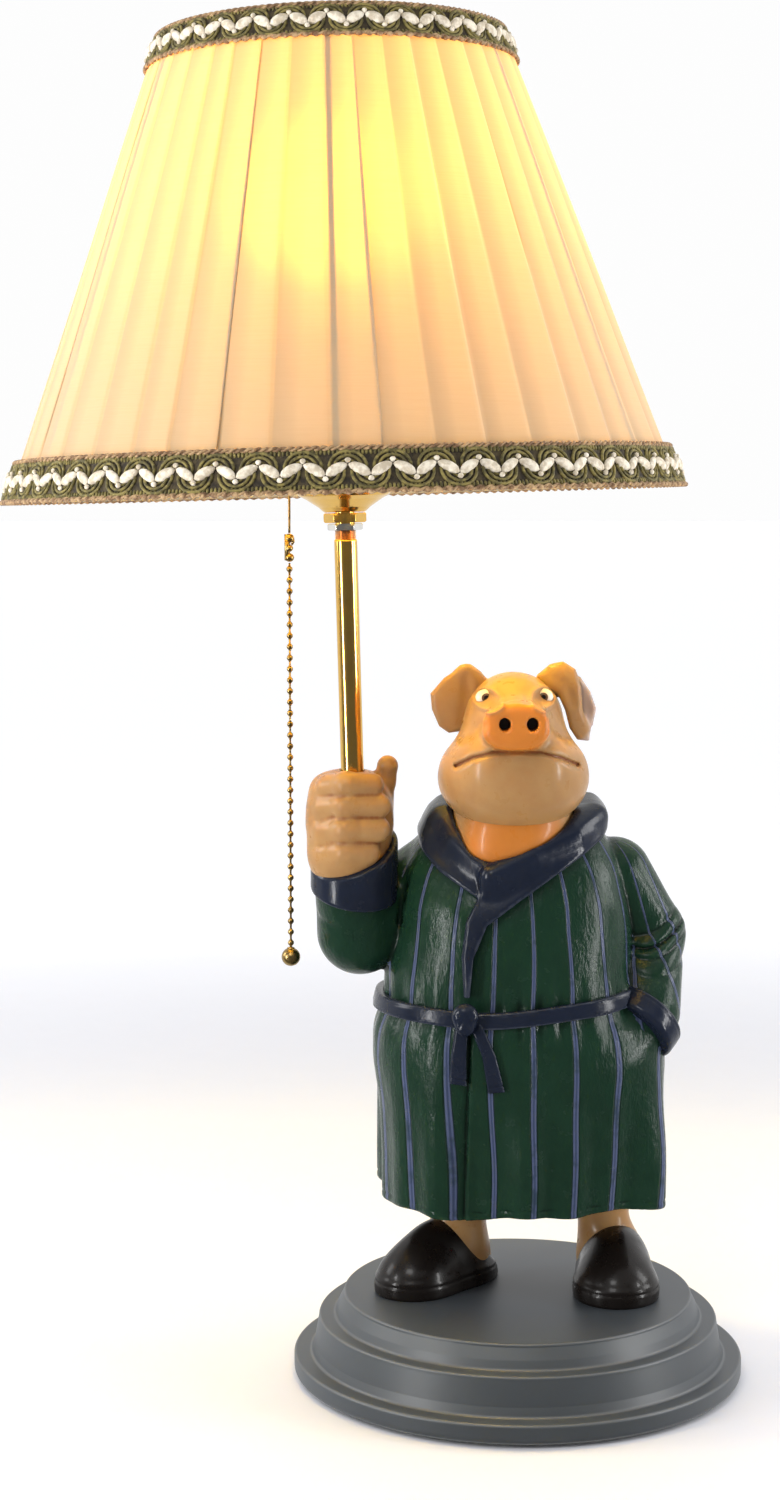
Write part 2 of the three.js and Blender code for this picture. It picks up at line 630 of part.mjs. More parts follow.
function buildStem() {
  const threadFrom = -17.5;
  const threadPitch = 1.2;
  const outline = [[STEM_BORE, STEM_BOTTOM], [STEM_RADIUS, STEM_BOTTOM], [STEM_RADIUS, threadFrom]];
  for (let z = threadFrom + 0.3; z < -14; z += threadPitch)
    outline.push([STEM_RADIUS - 0.6, z], [STEM_RADIUS - 0.1, z + threadPitch / 2]);
  outline.push([STEM_RADIUS - 0.4, -13.6], [STEM_RADIUS - 0.4, STEM_TOP], [STEM_BORE, STEM_TOP]);
  piece(stem, "stem_tube", turned(outline, 20), MATERIALS.brass);

  piece(stem, "lock_nut", nut(14.4, STEM_RADIUS, -14, -11.2), MATERIALS.steel);
  piece(stem, "collar_nut", nut(17.4, STEM_RADIUS, -10.9, -6.9), MATERIALS.brass);

  const cap = [
    [STEM_RADIUS, -6.6], [8.4, -6.6], [18.4, 0], [CAP_RADIUS, 2], [CAP_RADIUS, 9],
    [CAP_RADIUS - 0.8, 9], [CAP_RADIUS - 0.8, 2.4], [17.6, 0.8], [8, -5.4], [STEM_RADIUS, -5.4],
  ];
  piece(stem, "socket_cap", turned(cap, 24), MATERIALS.brass);

  const shell = [
    [SHELL_RADIUS - 0.7, 3.2], [SHELL_RADIUS, 3.2], [SHELL_RADIUS, SHOULDER - 1.5],
    [SHELL_RADIUS + 3.2, SHOULDER - 1.5], [SHELL_RADIUS + 3.2, SHOULDER],
    [SHELL_RADIUS, SHOULDER], [SHELL_RADIUS, HOLDER_TOP], [SHELL_RADIUS - 0.7, HOLDER_TOP],
  ];
  const guideHole = rod([-10, 0, 18], [-40, 0, 18], 1.9 + GAP, 12);
  piece(stem, "socket_shell", cut(solid(turned(shell, 24)), guideHole), MATERIALS.brass);

  const sleeve = solid(tube(SHELL_RADIUS - 1, SHELL_RADIUS - 1.6, 4, HOLDER_TOP - 1, 24));
  piece(stem, "insulating_sleeve", cut(sleeve, guideHole), MATERIALS.card);

  const coreRadius = SHELL_RADIUS - 1.9;
  const core = cut(
    solid(turned([
      [0, 14.5], [coreRadius, 14.5], [coreRadius, HOLDER_TOP - 2],
      [BULB_CAP_RADIUS + 0.5, HOLDER_TOP - 2], [BULB_CAP_RADIUS + 0.5, 31], [0, 31],
    ], 24)),
    solid(disc(CHANNEL_RADIUS, 5, 20, 12)),
    rod([-10, 0, 18], [-40, 0, 18], 1.9 + GAP, 12),
  );
  piece(stem, "socket_core", core, MATERIALS.porcelain);

  // Side arm of the pull switch, turned down so that the chain hangs clear of the cap.
  const arm = rod([-12, 0, 18], [-CHAIN_OFFSET, 0, 18], 1.9, 12);
  const mouth = solid(
    turned([[0, GUIDE_MOUTH], [2.6, GUIDE_MOUTH], [2.1, GUIDE_MOUTH + 2], [2.1, 22], [0, 22]], 20),
    at(-CHAIN_OFFSET, 0, 0),
  );
  const bore = solid(disc(1.55, GUIDE_MOUTH - 1, 21.4, 16), at(-CHAIN_OFFSET, 0, 0));
  piece(stem, "chain_guide", cut(join(arm, mouth), bore), MATERIALS.brass);

  piece(lamp, "inner_lead", lead, MATERIALS.lead);
}

function buildBulb() {
  const base = [
    [0, 32], [4, 32], [5, 34.5], [11.5, 38], [BULB_CAP_RADIUS, 39.5], [BULB_CAP_RADIUS, 57],
    [12.4, 58.5], [0, 58.5],
  ];
  piece(stem, "bulb_base", turned(base, 20), MATERIALS.steel);
  const globe = [[0, 58.8], [12.4, 58.8], [13.2, 63], [17, 73], [23.5, 86]];
  const centre = 111;
  for (const degrees of [-33, -15, 0, 15, 30, 45, 60, 75]) {
    const angle = THREE.MathUtils.degToRad(degrees);
    globe.push([BULB_RADIUS * Math.cos(angle), centre + BULB_RADIUS * Math.sin(angle)]);
  }
  globe.push([0, centre + BULB_RADIUS]);
  piece(stem, "bulb_globe", turned(globe, 20), MATERIALS.opal);
}

// ---- Shade ------------------------------------------------------------------------------------------

const SHADE_SLOPE = (SHADE_BOTTOM_RADIUS - SHADE_TOP_RADIUS) / SHADE_HEIGHT;
const shadeRadius = (height) => SHADE_BOTTOM_RADIUS - SHADE_SLOPE * height;

// A conical band that follows the shade's slope, from one radial offset to another.
function band(bottom, top, inner, outer) {
  return turned([
    [shadeRadius(bottom) + inner, bottom], [shadeRadius(bottom) + outer, bottom],
    [shadeRadius(top) + outer, top], [shadeRadius(top) + inner, top],
  ], SHADE_SIDES);
}

function wireRing(radius, height) {
  const section = [];
  for (let i = 0; i < 6; i++) {
    const angle = (2 * Math.PI * (i + 0.5)) / 6;
    section.push([radius + WIRE * Math.cos(angle), height + WIRE * Math.sin(angle)]);
  }
  return turned(section, 30);
}

function buildShade() {
  piece(shade, "shade_cover", band(0.6, SHADE_HEIGHT, -COVER_WALL, 0), MATERIALS.shadeCloth);
  piece(shade, "bottom_braid", band(0, BOTTOM_BRAID, GAP, GAP + BRAID_WALL), MATERIALS.braid);
  piece(
    shade, "top_braid",
    band(SHADE_HEIGHT - TOP_BRAID, SHADE_HEIGHT + 0.5, GAP, GAP + BRAID_WALL), MATERIALS.braid,
  );

  const inset = COVER_WALL + GAP + WIRE + 0.3;
  const low = 3;
  const high = SHADE_HEIGHT - 3;
  const ring = (height) => wireRing(shadeRadius(height) - inset, height);
  piece(shade, "shade_bottom_ring", ring(low), MATERIALS.wire);
  piece(shade, "shade_top_ring", ring(high), MATERIALS.wire);
  const clear = WIRE + GAP;
  for (let i = 0; i < RIBS; i++) {
    const angle = (2 * Math.PI * (i + 0.5)) / RIBS;
    const [c, s] = [Math.cos(angle), Math.sin(angle)];
    const [from, to] = [shadeRadius(low + clear) - inset, shadeRadius(high - clear) - inset];
    const rib = rod([from * c, from * s, low + clear], [to * c, to * s, high - clear], WIRE, 6);
    piece(shade, `shade_rib_${i + 1}`, rib, MATERIALS.wire);
  }

  // Ring that sits on the lampholder's shoulder, with arms out to every second rib.
  const seat = SHOULDER + GAP;
  const seatThickness = 2.4;
  const ringOuter = SHELL_RADIUS + 4.6;
  let fitter = solid(tube(ringOuter, SHELL_RADIUS + 0.5, seat, seat + seatThickness, 24));
  const armEnd = 16;
  for (let i = 0; i < FITTER_ARMS; i++) {
    const angle = (2 * Math.PI * (2 * i + 0.5)) / RIBS;
    const [c, s] = [Math.cos(angle), Math.sin(angle)];
    const reach = shadeRadius(armEnd) - inset - WIRE - 1.1;
    const from = ringOuter - 0.6;
    const root = [from * c, from * s, seat + 1.1];
    fitter = fitter.add(rod(root, [reach * c, reach * s, armEnd], 1.1, 6));
  }
  piece(shade, "shade_fitter", fitter, MATERIALS.wire);

  const nutBottom = seat + seatThickness + GAP;
  const nutOutline = [
    [SHELL_RADIUS + 0.4, nutBottom], [SHELL_RADIUS + 4.8, nutBottom],
    [SHELL_RADIUS + 4.8, nutBottom + 1.6], [SHELL_RADIUS + 2.2, nutBottom + 2.2],
    [SHELL_RADIUS + 2.2, nutBottom + 6], [SHELL_RADIUS + 0.4, nutBottom + 6],
  ];
  piece(stem, "shade_ring_nut", turned(nutOutline, 24), MATERIALS.brass);
}

// ---- Pull chain --------------------------------------------------------------------------------------

function buildPull() {
  const plunger = turned([[0, 11.8], [1.2, 11.8], [1.2, 20.6], [0, 20.6]], 14);
  piece(stem, "pull_plunger", plunger, MATERIALS.brass).position.x = -CHAIN_OFFSET;

  const [x, y, z] = onStem(-CHAIN_OFFSET, 0, 9.9);
  pull.position.set(x, y, 0);
  piece(pull, "pull_eyelet", new THREE.SphereGeometry(1.5, 10, 6), MATERIALS.brass).position.z = z;
  piece(pull, "pull_wire", disc(0.5, COUPLING.top + GAP, z - 1.8, 8), MATERIALS.lead);

  const box = solid(
    new THREE.BoxGeometry(COUPLING.width, COUPLING.depth, COUPLING.top - COUPLING.bottom),
    at(0, 0, (COUPLING.top + COUPLING.bottom) / 2),
  );
  const notch = solid(new THREE.BoxGeometry(2, 5, 3), at(COUPLING.width / 2, 0, COUPLING.bottom + 6));
  piece(pull, "chain_coupling", cut(box, notch), MATERIALS.brass);

  const lastBead = FIRST_BEAD_Z - BEAD_PITCH * (BEADS - 1);
  const outline = [[0, COUPLING.bottom - GAP], [LINK_RADIUS, COUPLING.bottom - GAP]];
  for (let i = 0; i < BEADS; i++) {
    const centre = FIRST_BEAD_Z - BEAD_PITCH * i;
    if (i) outline.push([LINK_RADIUS, centre + BEAD_PITCH / 2]);
    outline.push([BEAD_RADIUS, centre]);
  }
  const ballCentre = lastBead - BEAD_RADIUS - PULL_BALL_RADIUS - 0.6;
  const ballTop = ballCentre + PULL_BALL_RADIUS + GAP;
  outline.push([LINK_RADIUS, ballTop], [0, ballTop]);
  piece(pull, "bead_chain", turned(outline.reverse(), 6), MATERIALS.brass);
  piece(
    pull, "pull_ball", new THREE.SphereGeometry(PULL_BALL_RADIUS, 14, 9), MATERIALS.brass,
  ).position.z = ballCentre;
}

buildStand();
buildFigure();
buildStem();
buildBulb();
buildShade();
buildPull();

export default lamp;
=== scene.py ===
import math

import bpy
import numpy as np
from mathutils import Matrix, Vector


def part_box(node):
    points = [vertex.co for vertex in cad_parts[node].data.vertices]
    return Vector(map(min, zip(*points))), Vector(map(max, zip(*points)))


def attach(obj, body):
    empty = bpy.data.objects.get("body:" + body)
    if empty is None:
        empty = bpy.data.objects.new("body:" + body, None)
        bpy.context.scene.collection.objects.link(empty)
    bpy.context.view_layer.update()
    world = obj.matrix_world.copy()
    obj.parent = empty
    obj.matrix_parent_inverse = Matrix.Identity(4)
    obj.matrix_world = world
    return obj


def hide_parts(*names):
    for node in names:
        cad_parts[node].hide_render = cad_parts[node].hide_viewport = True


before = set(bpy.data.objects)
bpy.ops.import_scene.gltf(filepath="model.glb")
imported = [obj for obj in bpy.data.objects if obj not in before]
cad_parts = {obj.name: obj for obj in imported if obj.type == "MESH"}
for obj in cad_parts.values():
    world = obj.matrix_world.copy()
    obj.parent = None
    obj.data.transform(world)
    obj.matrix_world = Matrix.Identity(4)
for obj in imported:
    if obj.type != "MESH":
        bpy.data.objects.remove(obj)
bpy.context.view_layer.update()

MM = 0.001
TAU = 2 * math.pi

LEAN = math.radians(1.6)  # the stem leans towards -X
STEM_FOOT = (-72.85, -15, 371.5)  # where its axis crosses the shade's lower edge
ON_STEM = Matrix.Translation(Vector(STEM_FOOT) * MM) @ Matrix.Rotation(-LEAN, 4, "Y")
SHADE_HEIGHT = 184.5
SHADE_BOTTOM = 137.0
SHADE_TOP = 69.8
PLEATS = 40
CHAIN_X = -95.32
CHAIN_Y = -15.0
BEADS = 35
BEAD_PITCH = 4.55
FIRST_BEAD = 341.7
BULB_HEIGHT = 111.0  # the globe's centre, above STEM_FOOT
BULB_RADIUS = 30.0
WAIST = 161.5


# ---- Meshes ----------------------------------------------------------------------------------

def add_object(name, data):
    thing = bpy.data.objects.new(name, data)
    bpy.context.scene.collection.objects.link(thing)
    return thing


def new_piece(name, points, faces, material, matrix=None):
    """A smooth mesh object from points in millimetres."""
    mesh = bpy.data.meshes.new(name)
    if isinstance(faces, np.ndarray):
        faces = faces.tolist()
    mesh.from_pydata((np.asarray(points) * MM).tolist(), [], faces)
    mesh.materials.append(material)
    if matrix is not None:
        mesh.transform(matrix)
    mesh.polygons.foreach_set("use_smooth", [True] * len(mesh.polygons))
    mesh.update()
    return add_object(name, mesh)


def settle_on(piece, body, slot, *nodes):
    """The piece rides on a body and stands for CAD nodes; the slot is not used."""
    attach(piece, body)
    if nodes:
        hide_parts(*nodes)


def add_value(mesh, name, values):
    attribute = mesh.attributes.new(name, "FLOAT", "POINT")
    attribute.data.foreach_set("value", np.asarray(values, dtype=np.float32))


def circle(count):
    return np.arange(count) * TAU / count


def quads(rows, columns, closed=False):
    """Faces of a grid of points whose rows are rings. Closed joins the last row to the first."""
    faces = []
    for row in range(rows if closed else rows - 1):
        low, high = row * columns, (row + 1) % rows * columns
        for i in range(columns):
            j = (i + 1) % columns
            faces.append([low + i, low + j, high + j, high + i])
    return faces


def supported(outline):
    """The outline with extra points beside its corners, so that smooth shading keeps flats flat."""
    near = 0.25
    points = [outline[0]]
    for a, b in zip(outline[:-1], outline[1:]):
        span = np.linalg.norm(b - a)
        if span > 5 * near:
            points += [a + (b - a) * near / span, b - (b - a) * near / span]
        points.append(b)
    return np.array(points)


def turned(name, outline, material, sides, matrix=None, sharp=35):
    """A body of revolution about +Z from a [radius, height] outline. The outline closes on
    itself, or starts and ends on the axis."""
    outline = supported(np.array(outline, float))
    on_axis = outline[0, 0] < 1e-6
    ring = outline[1:-1] if on_axis else outline
    turns = [(math.cos(a), math.sin(a)) for a in circle(sides)]
    points = [[r * c, r * s, z] for r, z in ring for c, s in turns]
    faces = quads(len(ring), sides, closed=not on_axis)
    if on_axis:
        low, last = len(points), (len(ring) - 1) * sides
        points += [[0, 0, outline[0, 1]], [0, 0, outline[-1, 1]]]
        for i in range(sides):
            j = (i + 1) % sides
            faces += [[low, j, i], [low + 1, last + i, last + j]]
    piece = new_piece(name, points, faces, material, matrix)
    piece.data.set_sharp_from_angle(angle=math.radians(sharp))
    return piece


class Bundle:
    """Collects many small solids into one mesh."""

    def __init__(self):
        self.points = []
        self.faces = []
        self.count = 0

    def add(self, points, faces):
        self.points.append(np.asarray(points, float))
        self.faces += [[i + self.count for i in face] for face in faces]
        self.count += len(points)

    def piece(self, name, material, matrix=None):
        return new_piece(name, np.concatenate(self.points), self.faces, material, matrix)


def tube(path, radius, sides, flat=1.0, closed=False):
    """Points and faces of a round section swept along a path. Open ends are capped."""
    path = np.asarray(path, float)
    radius = np.broadcast_to(radius, len(path))[:, None, None]
    if closed:
        ahead = np.roll(path, -1, 0) - np.roll(path, 1, 0)
    else:
        ahead = np.gradient(path, axis=0)
    ahead /= np.linalg.norm(ahead, axis=1)[:, None]
    guide = np.array([0, 0, 1.0]) if abs(ahead[:, 2]).mean() < 0.7 else np.array([1.0, 0, 0])
    side = np.cross(ahead, guide)
    side /= np.linalg.norm(side, axis=1)[:, None]
    over = np.cross(side, ahead)
    angles = circle(sides)[None, :, None]
    points = (path[:, None] + radius * np.cos(angles) * over[:, None]
              + radius * flat * np.sin(angles) * side[:, None])
    faces = quads(len(path), sides, closed)
    if not closed:
        faces += [list(range(sides))[::-1], [(len(path) - 1) * sides + i for i in range(sides)]]
    return points.reshape(-1, 3), faces


def ball(centre, radii, sides, rows, turn=None):
    """Points and faces of an ellipsoid."""
    points = [[0, 0, -1.0]]
    for tilt in math.pi * np.arange(1, rows) / rows:
        points += [[math.sin(tilt) * math.cos(a), math.sin(tilt) * math.sin(a), -math.cos(tilt)]
                   for a in circle(sides)]
    points.append([0, 0, 1.0])
    last = 1 + (rows - 2) * sides
    faces = [[0, 1 + (i + 1) % sides, 1 + i] for i in range(sides)]
    faces += [[i + 1 for i in face] for face in quads(rows - 1, sides)]
    faces += [[last + i, last + (i + 1) % sides, len(points) - 1] for i in range(sides)]
    points = np.array(points) * np.asarray(radii, float)
    if turn is not None:
        points = points @ np.asarray(turn, float).T
    return points + np.asarray(centre, float), faces


# ---- Sculpting: signed fields in millimetres, and the surface where they are zero --------------

def length(p):
    return np.sqrt((p * p).sum(-1))


def ellipsoid(p, centre, radii):
    q = p - np.array(centre, float)
    radii = np.array(radii, float)
    inner = length(q / radii)
    slope = np.maximum(length(q / radii ** 2), 1e-6)
    return inner * (inner - 1) / slope


def limb(p, start, end, first, last=None):
    """A round limb whose radius goes from first to last."""
    last = first if last is None else last
    a = np.array(start, float)
    along = np.array(end, float) - a
    t = np.clip((p - a) @ along / (along @ along), 0, 1)
    return length(p - a - t[:, None] * along) - (first + (last - first) * t)


def path_distance(p, points):
    """How far p is from a polyline."""
    parts = [limb(p, a, b, 0.0) for a, b in zip(points[:-1], points[1:])]
    return np.minimum.reduce(parts)


def joined(a, b, soft):
    h = np.clip(0.5 + 0.5 * (b - a) / soft, 0, 1)
    return b * (1 - h) + a * h - soft * h * (1 - h)


def shared(a, b, soft):
    return -joined(-a, -b, soft)


def carved(a, b, soft):
    return shared(a, -b, soft)


def groove(field, distance, width, depth):
    """Presses a rounded line into a field."""
    return field + depth * np.exp(-(distance / width) ** 2)


def ramp(x, low, high):
    t = np.clip((x - low) / (high - low), 0, 1)
    return t * t * (3 - 2 * t)


def in_outline(x, z, outline):
    """Signed distance to a flat outline in X and Z, negative inside."""
    best = np.full(x.shape, 1e9)
    sign = np.ones(x.shape)
    corners = np.array(outline, float)
    for a, b in zip(corners, np.roll(corners, -1, 0)):
        edge = b - a
        wx, wz = x - a[0], z - a[1]
        t = np.clip((wx * edge[0] + wz * edge[1]) / (edge @ edge), 0, 1)
        best = np.minimum(best, (wx - edge[0] * t) ** 2 + (wz - edge[1] * t) ** 2)
        above, below = z >= a[1], z < b[1]
        left = edge[0] * wz > edge[1] * wx
        flip = (above & below & left) | (~above & ~below & ~left)
        sign = np.where(flip, -sign, sign)
    return sign * np.sqrt(best)


def sampled(field, low, high, cell):
    """The field on a grid. Nodes far from the surface take their block's value."""
    block = 4
    blocks = tuple(np.ceil((high - low) / (cell * block)).astype(int) + 1)
    centres = np.stack(np.meshgrid(*[np.arange(n) for n in blocks], indexing="ij"), -1)
    middle = field((low + cell * (centres * block + (block - 1) / 2)).reshape(-1, 3))
    values = middle.reshape(blocks)
    for axis in range(3):
        values = np.repeat(values, block, axis)
    near = np.abs(values) < cell * block * 1.5 + 2.5
    values[near] = field(low + cell * np.argwhere(near))
    return values


def surface_net(values, low, cell):
    """Vertices and quads of the surface where a sampled field is zero."""
    cells = tuple(n - 1 for n in values.shape)
    window = lambda c: values[c[0]:c[0] + cells[0], c[1]:c[1] + cells[1], c[2]:c[2] + cells[2]]
    total = np.zeros(cells + (3,))
    count = np.zeros(cells)
    for start in np.ndindex(2, 2, 2):
        for axis in range(3):
            if start[axis]:
                continue
            end = tuple(1 if m == axis else start[m] for m in range(3))
            a, b = window(start), window(end)
            crossed = (a < 0) != (b < 0)
            t = np.where(crossed, a / np.where(crossed, a - b, 1), 0)
            for m in range(3):
                total[..., m] += np.where(crossed, t if m == axis else start[m], 0)
            count += crossed
    used = count > 0
    index = np.full(cells, -1)
    index[used] = np.arange(used.sum())
    vertices = low + cell * (np.argwhere(used) + total[used] / count[used][:, None])
    inside = values < 0
    quads = []
    for axis in range(3):
        u, v = np.eye(3, dtype=int)[(axis + 1) % 3], np.eye(3, dtype=int)[(axis + 2) % 3]
        near = tuple(slice(0, cells[m]) if m == axis else slice(1, cells[m]) for m in range(3))
        far = tuple(slice(1, cells[m] + 1) if m == axis else slice(1, cells[m]) for m in range(3))
        first = np.array([0 if m == axis else 1 for m in range(3)])
        for leaving in (True, False):
            turns = (inside[near] & ~inside[far]) if leaving else (~inside[near] & inside[far])
            at = np.argwhere(turns) + first
            ring = [index[tuple(c.T)] for c in (at - u - v, at - v, at, at - u)]
            quads.append(np.stack(ring if leaving else ring[::-1], 1))
    return vertices, np.concatenate(quads)


def onto_surface(points, field):
    """Moves points onto the field's surface."""
    step, furthest = 0.2, 0.7
    for _ in range(2):
        slopes = [(field(points + e) - field(points - e)) / (2 * step) for e in np.eye(3) * step]
        slope = np.stack(slopes, 1)
        move = field(points) / np.maximum((slope ** 2).sum(1), 0.2)
        points = points - np.clip(move, -furthest, furthest)[:, None] * slope
    return points


def hollowness(points, faces, rounds):
    """How hollow the surface is at each point: positive in creases, negative on edges."""
    mesh_edges = np.concatenate([faces[:, [i, (i + 1) % 4]] for i in range(4)])
    normals = np.zeros_like(points)
    cross = np.cross(points[faces[:, 2]] - points[faces[:, 0]],
                     points[faces[:, 3]] - points[faces[:, 1]])
    for i in range(4):
        np.add.at(normals, faces[:, i], cross)
    normals /= np.maximum(length(normals), 1e-9)[:, None]
    degree = np.bincount(mesh_edges[:, 0], minlength=len(points))

    def averaged(values):
        out = np.stack([np.bincount(mesh_edges[:, 0], values[mesh_edges[:, 1], m],
                                    len(points)) for m in range(values.shape[1])], 1)
        return out / np.maximum(degree, 1)[:, None]

    wide = points
    for _ in range(rounds):
        wide = averaged(wide)
    return ((wide - points) * normals).sum(1)


def sculpt(name, field, low, high, cell, material, values=None):
    """A piece whose surface is where the field is zero, between two corners of space."""
    low, high = np.array(low, float), np.array(high, float)
    points, faces = surface_net(sampled(field, low, high, cell), low, cell)
    points = onto_surface(points, field)
    piece = new_piece(name, points, faces, material)
    add_value(piece.data, "hollow", hollowness(points, faces, max(3, round(3 / cell))))
    for key, value in (values or {}).items():
        add_value(piece.data, key, value(points))
    return piece


def sculpt_all(slot, material, rows):
    """Sculpts the pieces of one finish, each with the nodes it stands for and any values."""
    for name, field, low, high, cell, nodes, *values in rows:
        piece = sculpt(name, field, low, high, cell, material, *values)
        settle_on(piece, "base", slot, *nodes)


# ---- Materials -------------------------------------------------------------------------------

class Shader:
    """A material's node tree with shorthand for adding and linking nodes."""

    def __init__(self, name):
        self.material = bpy.data.materials.new(name)
        self.material.use_nodes = True
        self.tree = self.material.node_tree
        self.main = self.tree.nodes["Principled BSDF"]

    def put(self, node, key, value):
        """Links a socket to an input, or sets the input's own value."""
        if isinstance(value, bpy.types.NodeSocket):
            self.tree.links.new(value, node.inputs[key])
        else:
            is_colour = node.inputs[key].type == "RGBA"
            node.inputs[key].default_value = (*value, 1.0) if is_colour else value

    def add(self, kind, inputs, **settings):
        node = self.tree.nodes.new("ShaderNode" + kind)
        for key, value in settings.items():
            setattr(node, key, value)
        for key, value in inputs.items():
            self.put(node, key, value)
        return node

    def set(self, **values):
        for key, value in values.items():
            self.put(self.main, key.replace("_", " "), value)

    def place(self):
        return self.add("TexCoord", {}).outputs["Object"]

    def value(self, name):
        return self.add("Attribute", {}, attribute_name=name).outputs["Fac"]

    def math(self, kind, a, b=0.0):
        return self.add("Math", {0: a, 1: b}, operation=kind).outputs[0]

    def plus(self, a, b):
        return self.math("ADD", a, b)

    def times(self, a, b):
        return self.math("MULTIPLY", a, b)

    def remap(self, value, low, high, start=0.0, end=1.0):
        inputs = {"Value": value, "From Min": low, "From Max": high, "To Min": start, "To Max": end}
        return self.add("MapRange", inputs, interpolation_type="SMOOTHSTEP").outputs["Result"]

    def noise(self, scale, detail, rough=0.5, stretch=(1, 1, 1)):
        vector = self.add("Mapping", {"Vector": self.place(), "Scale": stretch}).outputs[0]
        inputs = {"Vector": vector, "Scale": scale, "Detail": detail, "Roughness": rough}
        return self.add("TexNoise", inputs).outputs["Fac"]

    def mix(self, amount, a, b):
        return self.add("Mix", {0: amount, 6: a, 7: b}, data_type="RGBA").outputs[2]

    def bump(self, height, strength, depth):
        inputs = {"Height": height, "Strength": strength, "Distance": depth * MM}
        return self.add("Bump", inputs).outputs["Normal"]


def glaze(name, base, deep, wear_and_highlight, roughness, coat, grain, uneven=True):
    """Gloss paint brushed on cast resin: creases darken as painted shade, edges are lighter as
    rubbed paint and painted highlight.
    """
    s = Shader(name)
    mottle = s.remap(s.noise(90, 4, 0.55), 0.3, 0.75)
    # Painted shade: the deep colour fills the creases. Edges take the lighter colour, rubbed paint
    # with a painted highlight.
    crease = s.remap(s.value("hollow"), 0.02, 0.30)
    edge = s.remap(s.value("hollow"), -0.17, -0.50)
    colour = s.mix(s.times(mottle, 0.25), base, deep)
    colour = s.mix(s.times(edge, 0.45), colour, wear_and_highlight)
    colour = s.mix(crease, colour, deep)
    streaks = s.noise(260, 3, 0.6, stretch=(1, 1, 0.35))
    if uneven:
        cloud = s.noise(160, 3, 0.55)
        roughness = s.remap(cloud, 0.25, 0.8, roughness * 0.75, roughness * 1.4)
    s.set(Base_Color=colour, Normal=s.bump(streaks, grain, 0.35), Roughness=roughness,
          Specular_IOR_Level=0.16, Coat_Weight=coat, Coat_Roughness=0.12)
    return s, colour


def skin_glaze():
    """Flesh paint with a warmer snout and brown-red painted shade in its creases, orange painted
    lamp light on the snout and throat, and painted shade in the nostrils.
    """
    s, colour = glaze("skin", (0.335, 0.19, 0.075), (0.20, 0.065, 0.020), (0.50, 0.35, 0.22),
                      0.33, 0.15, 0.10)
    # The blush tone is warmer snout paint with orange painted lamp light; the shadow tone is
    # painted shade; pale is a paler patch.
    for value, most, tone in (("blush_and_lamp_light", 1, (0.46, 0.15, 0.02)),
                              ("shadow", 1, (0.025, 0.016, 0.012)),
                              ("pale", 0.75, (0.40, 0.32, 0.30))):
        colour = s.mix(s.remap(s.value(value), 0, 1, 0, most), colour, tone)
    s.set(Base_Color=colour, Subsurface_Weight=0.12, Subsurface_Scale=1.0,
          Subsurface_Radius=(0.004, 0.0015, 0.0008))
    return s.material


def robe_glaze():
    """Dark green gloss with blue-violet pinstripes that follow the gown round the body."""
    stripes = 18
    s, colour = glaze("robe", (0.008, 0.028, 0.016), (0.003, 0.010, 0.006),
                      (0.028, 0.062, 0.034), 0.22, 0.05, 0.45)
    x, y, z = s.add("SeparateXYZ", {0: s.place()}).outputs
    azimuth = s.math("ARCTAN2", s.plus(x, 0.0025), s.times(y, -1.0))
    waver = s.times(s.plus(s.noise(14, 1, 0.55), -0.5), 0.35)
    body = s.plus(s.plus(s.times(azimuth, stripes / TAU), waver), 40.15)
    arm = s.plus(s.value("sleeve_turn"), 40.0)
    on_arm = s.math("GREATER_THAN", s.value("on_sleeve"), 0.5)
    turns = s.add("Mix", {0: on_arm, 2: body, 3: arm}, data_type="FLOAT").outputs[0]
    off = s.math("ABSOLUTE", s.plus(s.math("FRACT", turns), -0.5))
    off = s.math("DIVIDE", off, s.remap(z, 0.10, 0.22, 0.078, 0.052))
    rim = s.remap(s.math("ABSOLUTE", s.plus(off, -1.0)), 0.35, 0.0)
    wear = s.remap(s.noise(120, 3, 0.55), 0.30, 0.50, 0.45, 1.0)
    stripe = s.times(s.remap(off, 1.0, 0.72), wear)
    core = s.times(s.remap(off, 0.40, 0.15), 0.6)
    for amount, tone in ((stripe, (0.062, 0.080, 0.150)), (core, (0.014, 0.022, 0.050)),
                         (s.times(rim, 0.6), (0.004, 0.010, 0.012))):
        colour = s.mix(amount, colour, tone)
    height = s.plus(s.noise(220, 4, 0.65, stretch=(1, 1, 0.4)), s.times(rim, -0.5))
    s.set(Base_Color=colour, Normal=s.bump(height, 0.75, 0.8))
    return s.material


def metal(name, colour, roughness, dull, streak=(1, 1, 0.02), variation=0.25):
    """Polished or aged metal, with fine draw marks and slightly uneven gloss."""
    s = Shader(name)
    tone = s.mix(s.remap(s.noise(220, 4, 0.55), 0.35, 0.75, 0, variation), colour, dull)
    marks = s.noise(900, 2, 0.5, stretch=streak)
    s.set(Base_Color=tone, Metallic=1.0, Normal=s.bump(marks, 0.05, 0.05),
          Roughness=s.remap(marks, 0.2, 0.8, roughness * 0.75, roughness * 1.35))
    return s.material


def plain(name, colour, second, roughness, scale, bump, depth, **settings):
    """A dull material with a mottled colour and a fine grain."""
    s = Shader(name)
    grain = s.noise(scale, 4, 0.6)
    s.set(Base_Color=s.mix(s.remap(grain, 0.3, 0.7), colour, second), Roughness=roughness,
          Normal=s.bump(grain, bump, depth), **settings)
    return s.material


def yarn(name, light, dark, fibres=1400):
    """Twisted thread: fine slanting fibres, matt, a little fuzzy at grazing angles."""
    s = Shader(name)
    fine = s.noise(fibres, 2, 0.6, stretch=(1, 1, 0.4))
    crease = s.remap(s.noise(420, 3, 0.55), 0.35, 0.65)
    s.set(Base_Color=s.mix(crease, light, dark), Roughness=0.75, Normal=s.bump(fine, 0.6, 0.25),
          Sheen_Weight=0.08, Sheen_Roughness=0.4)
    return s.material


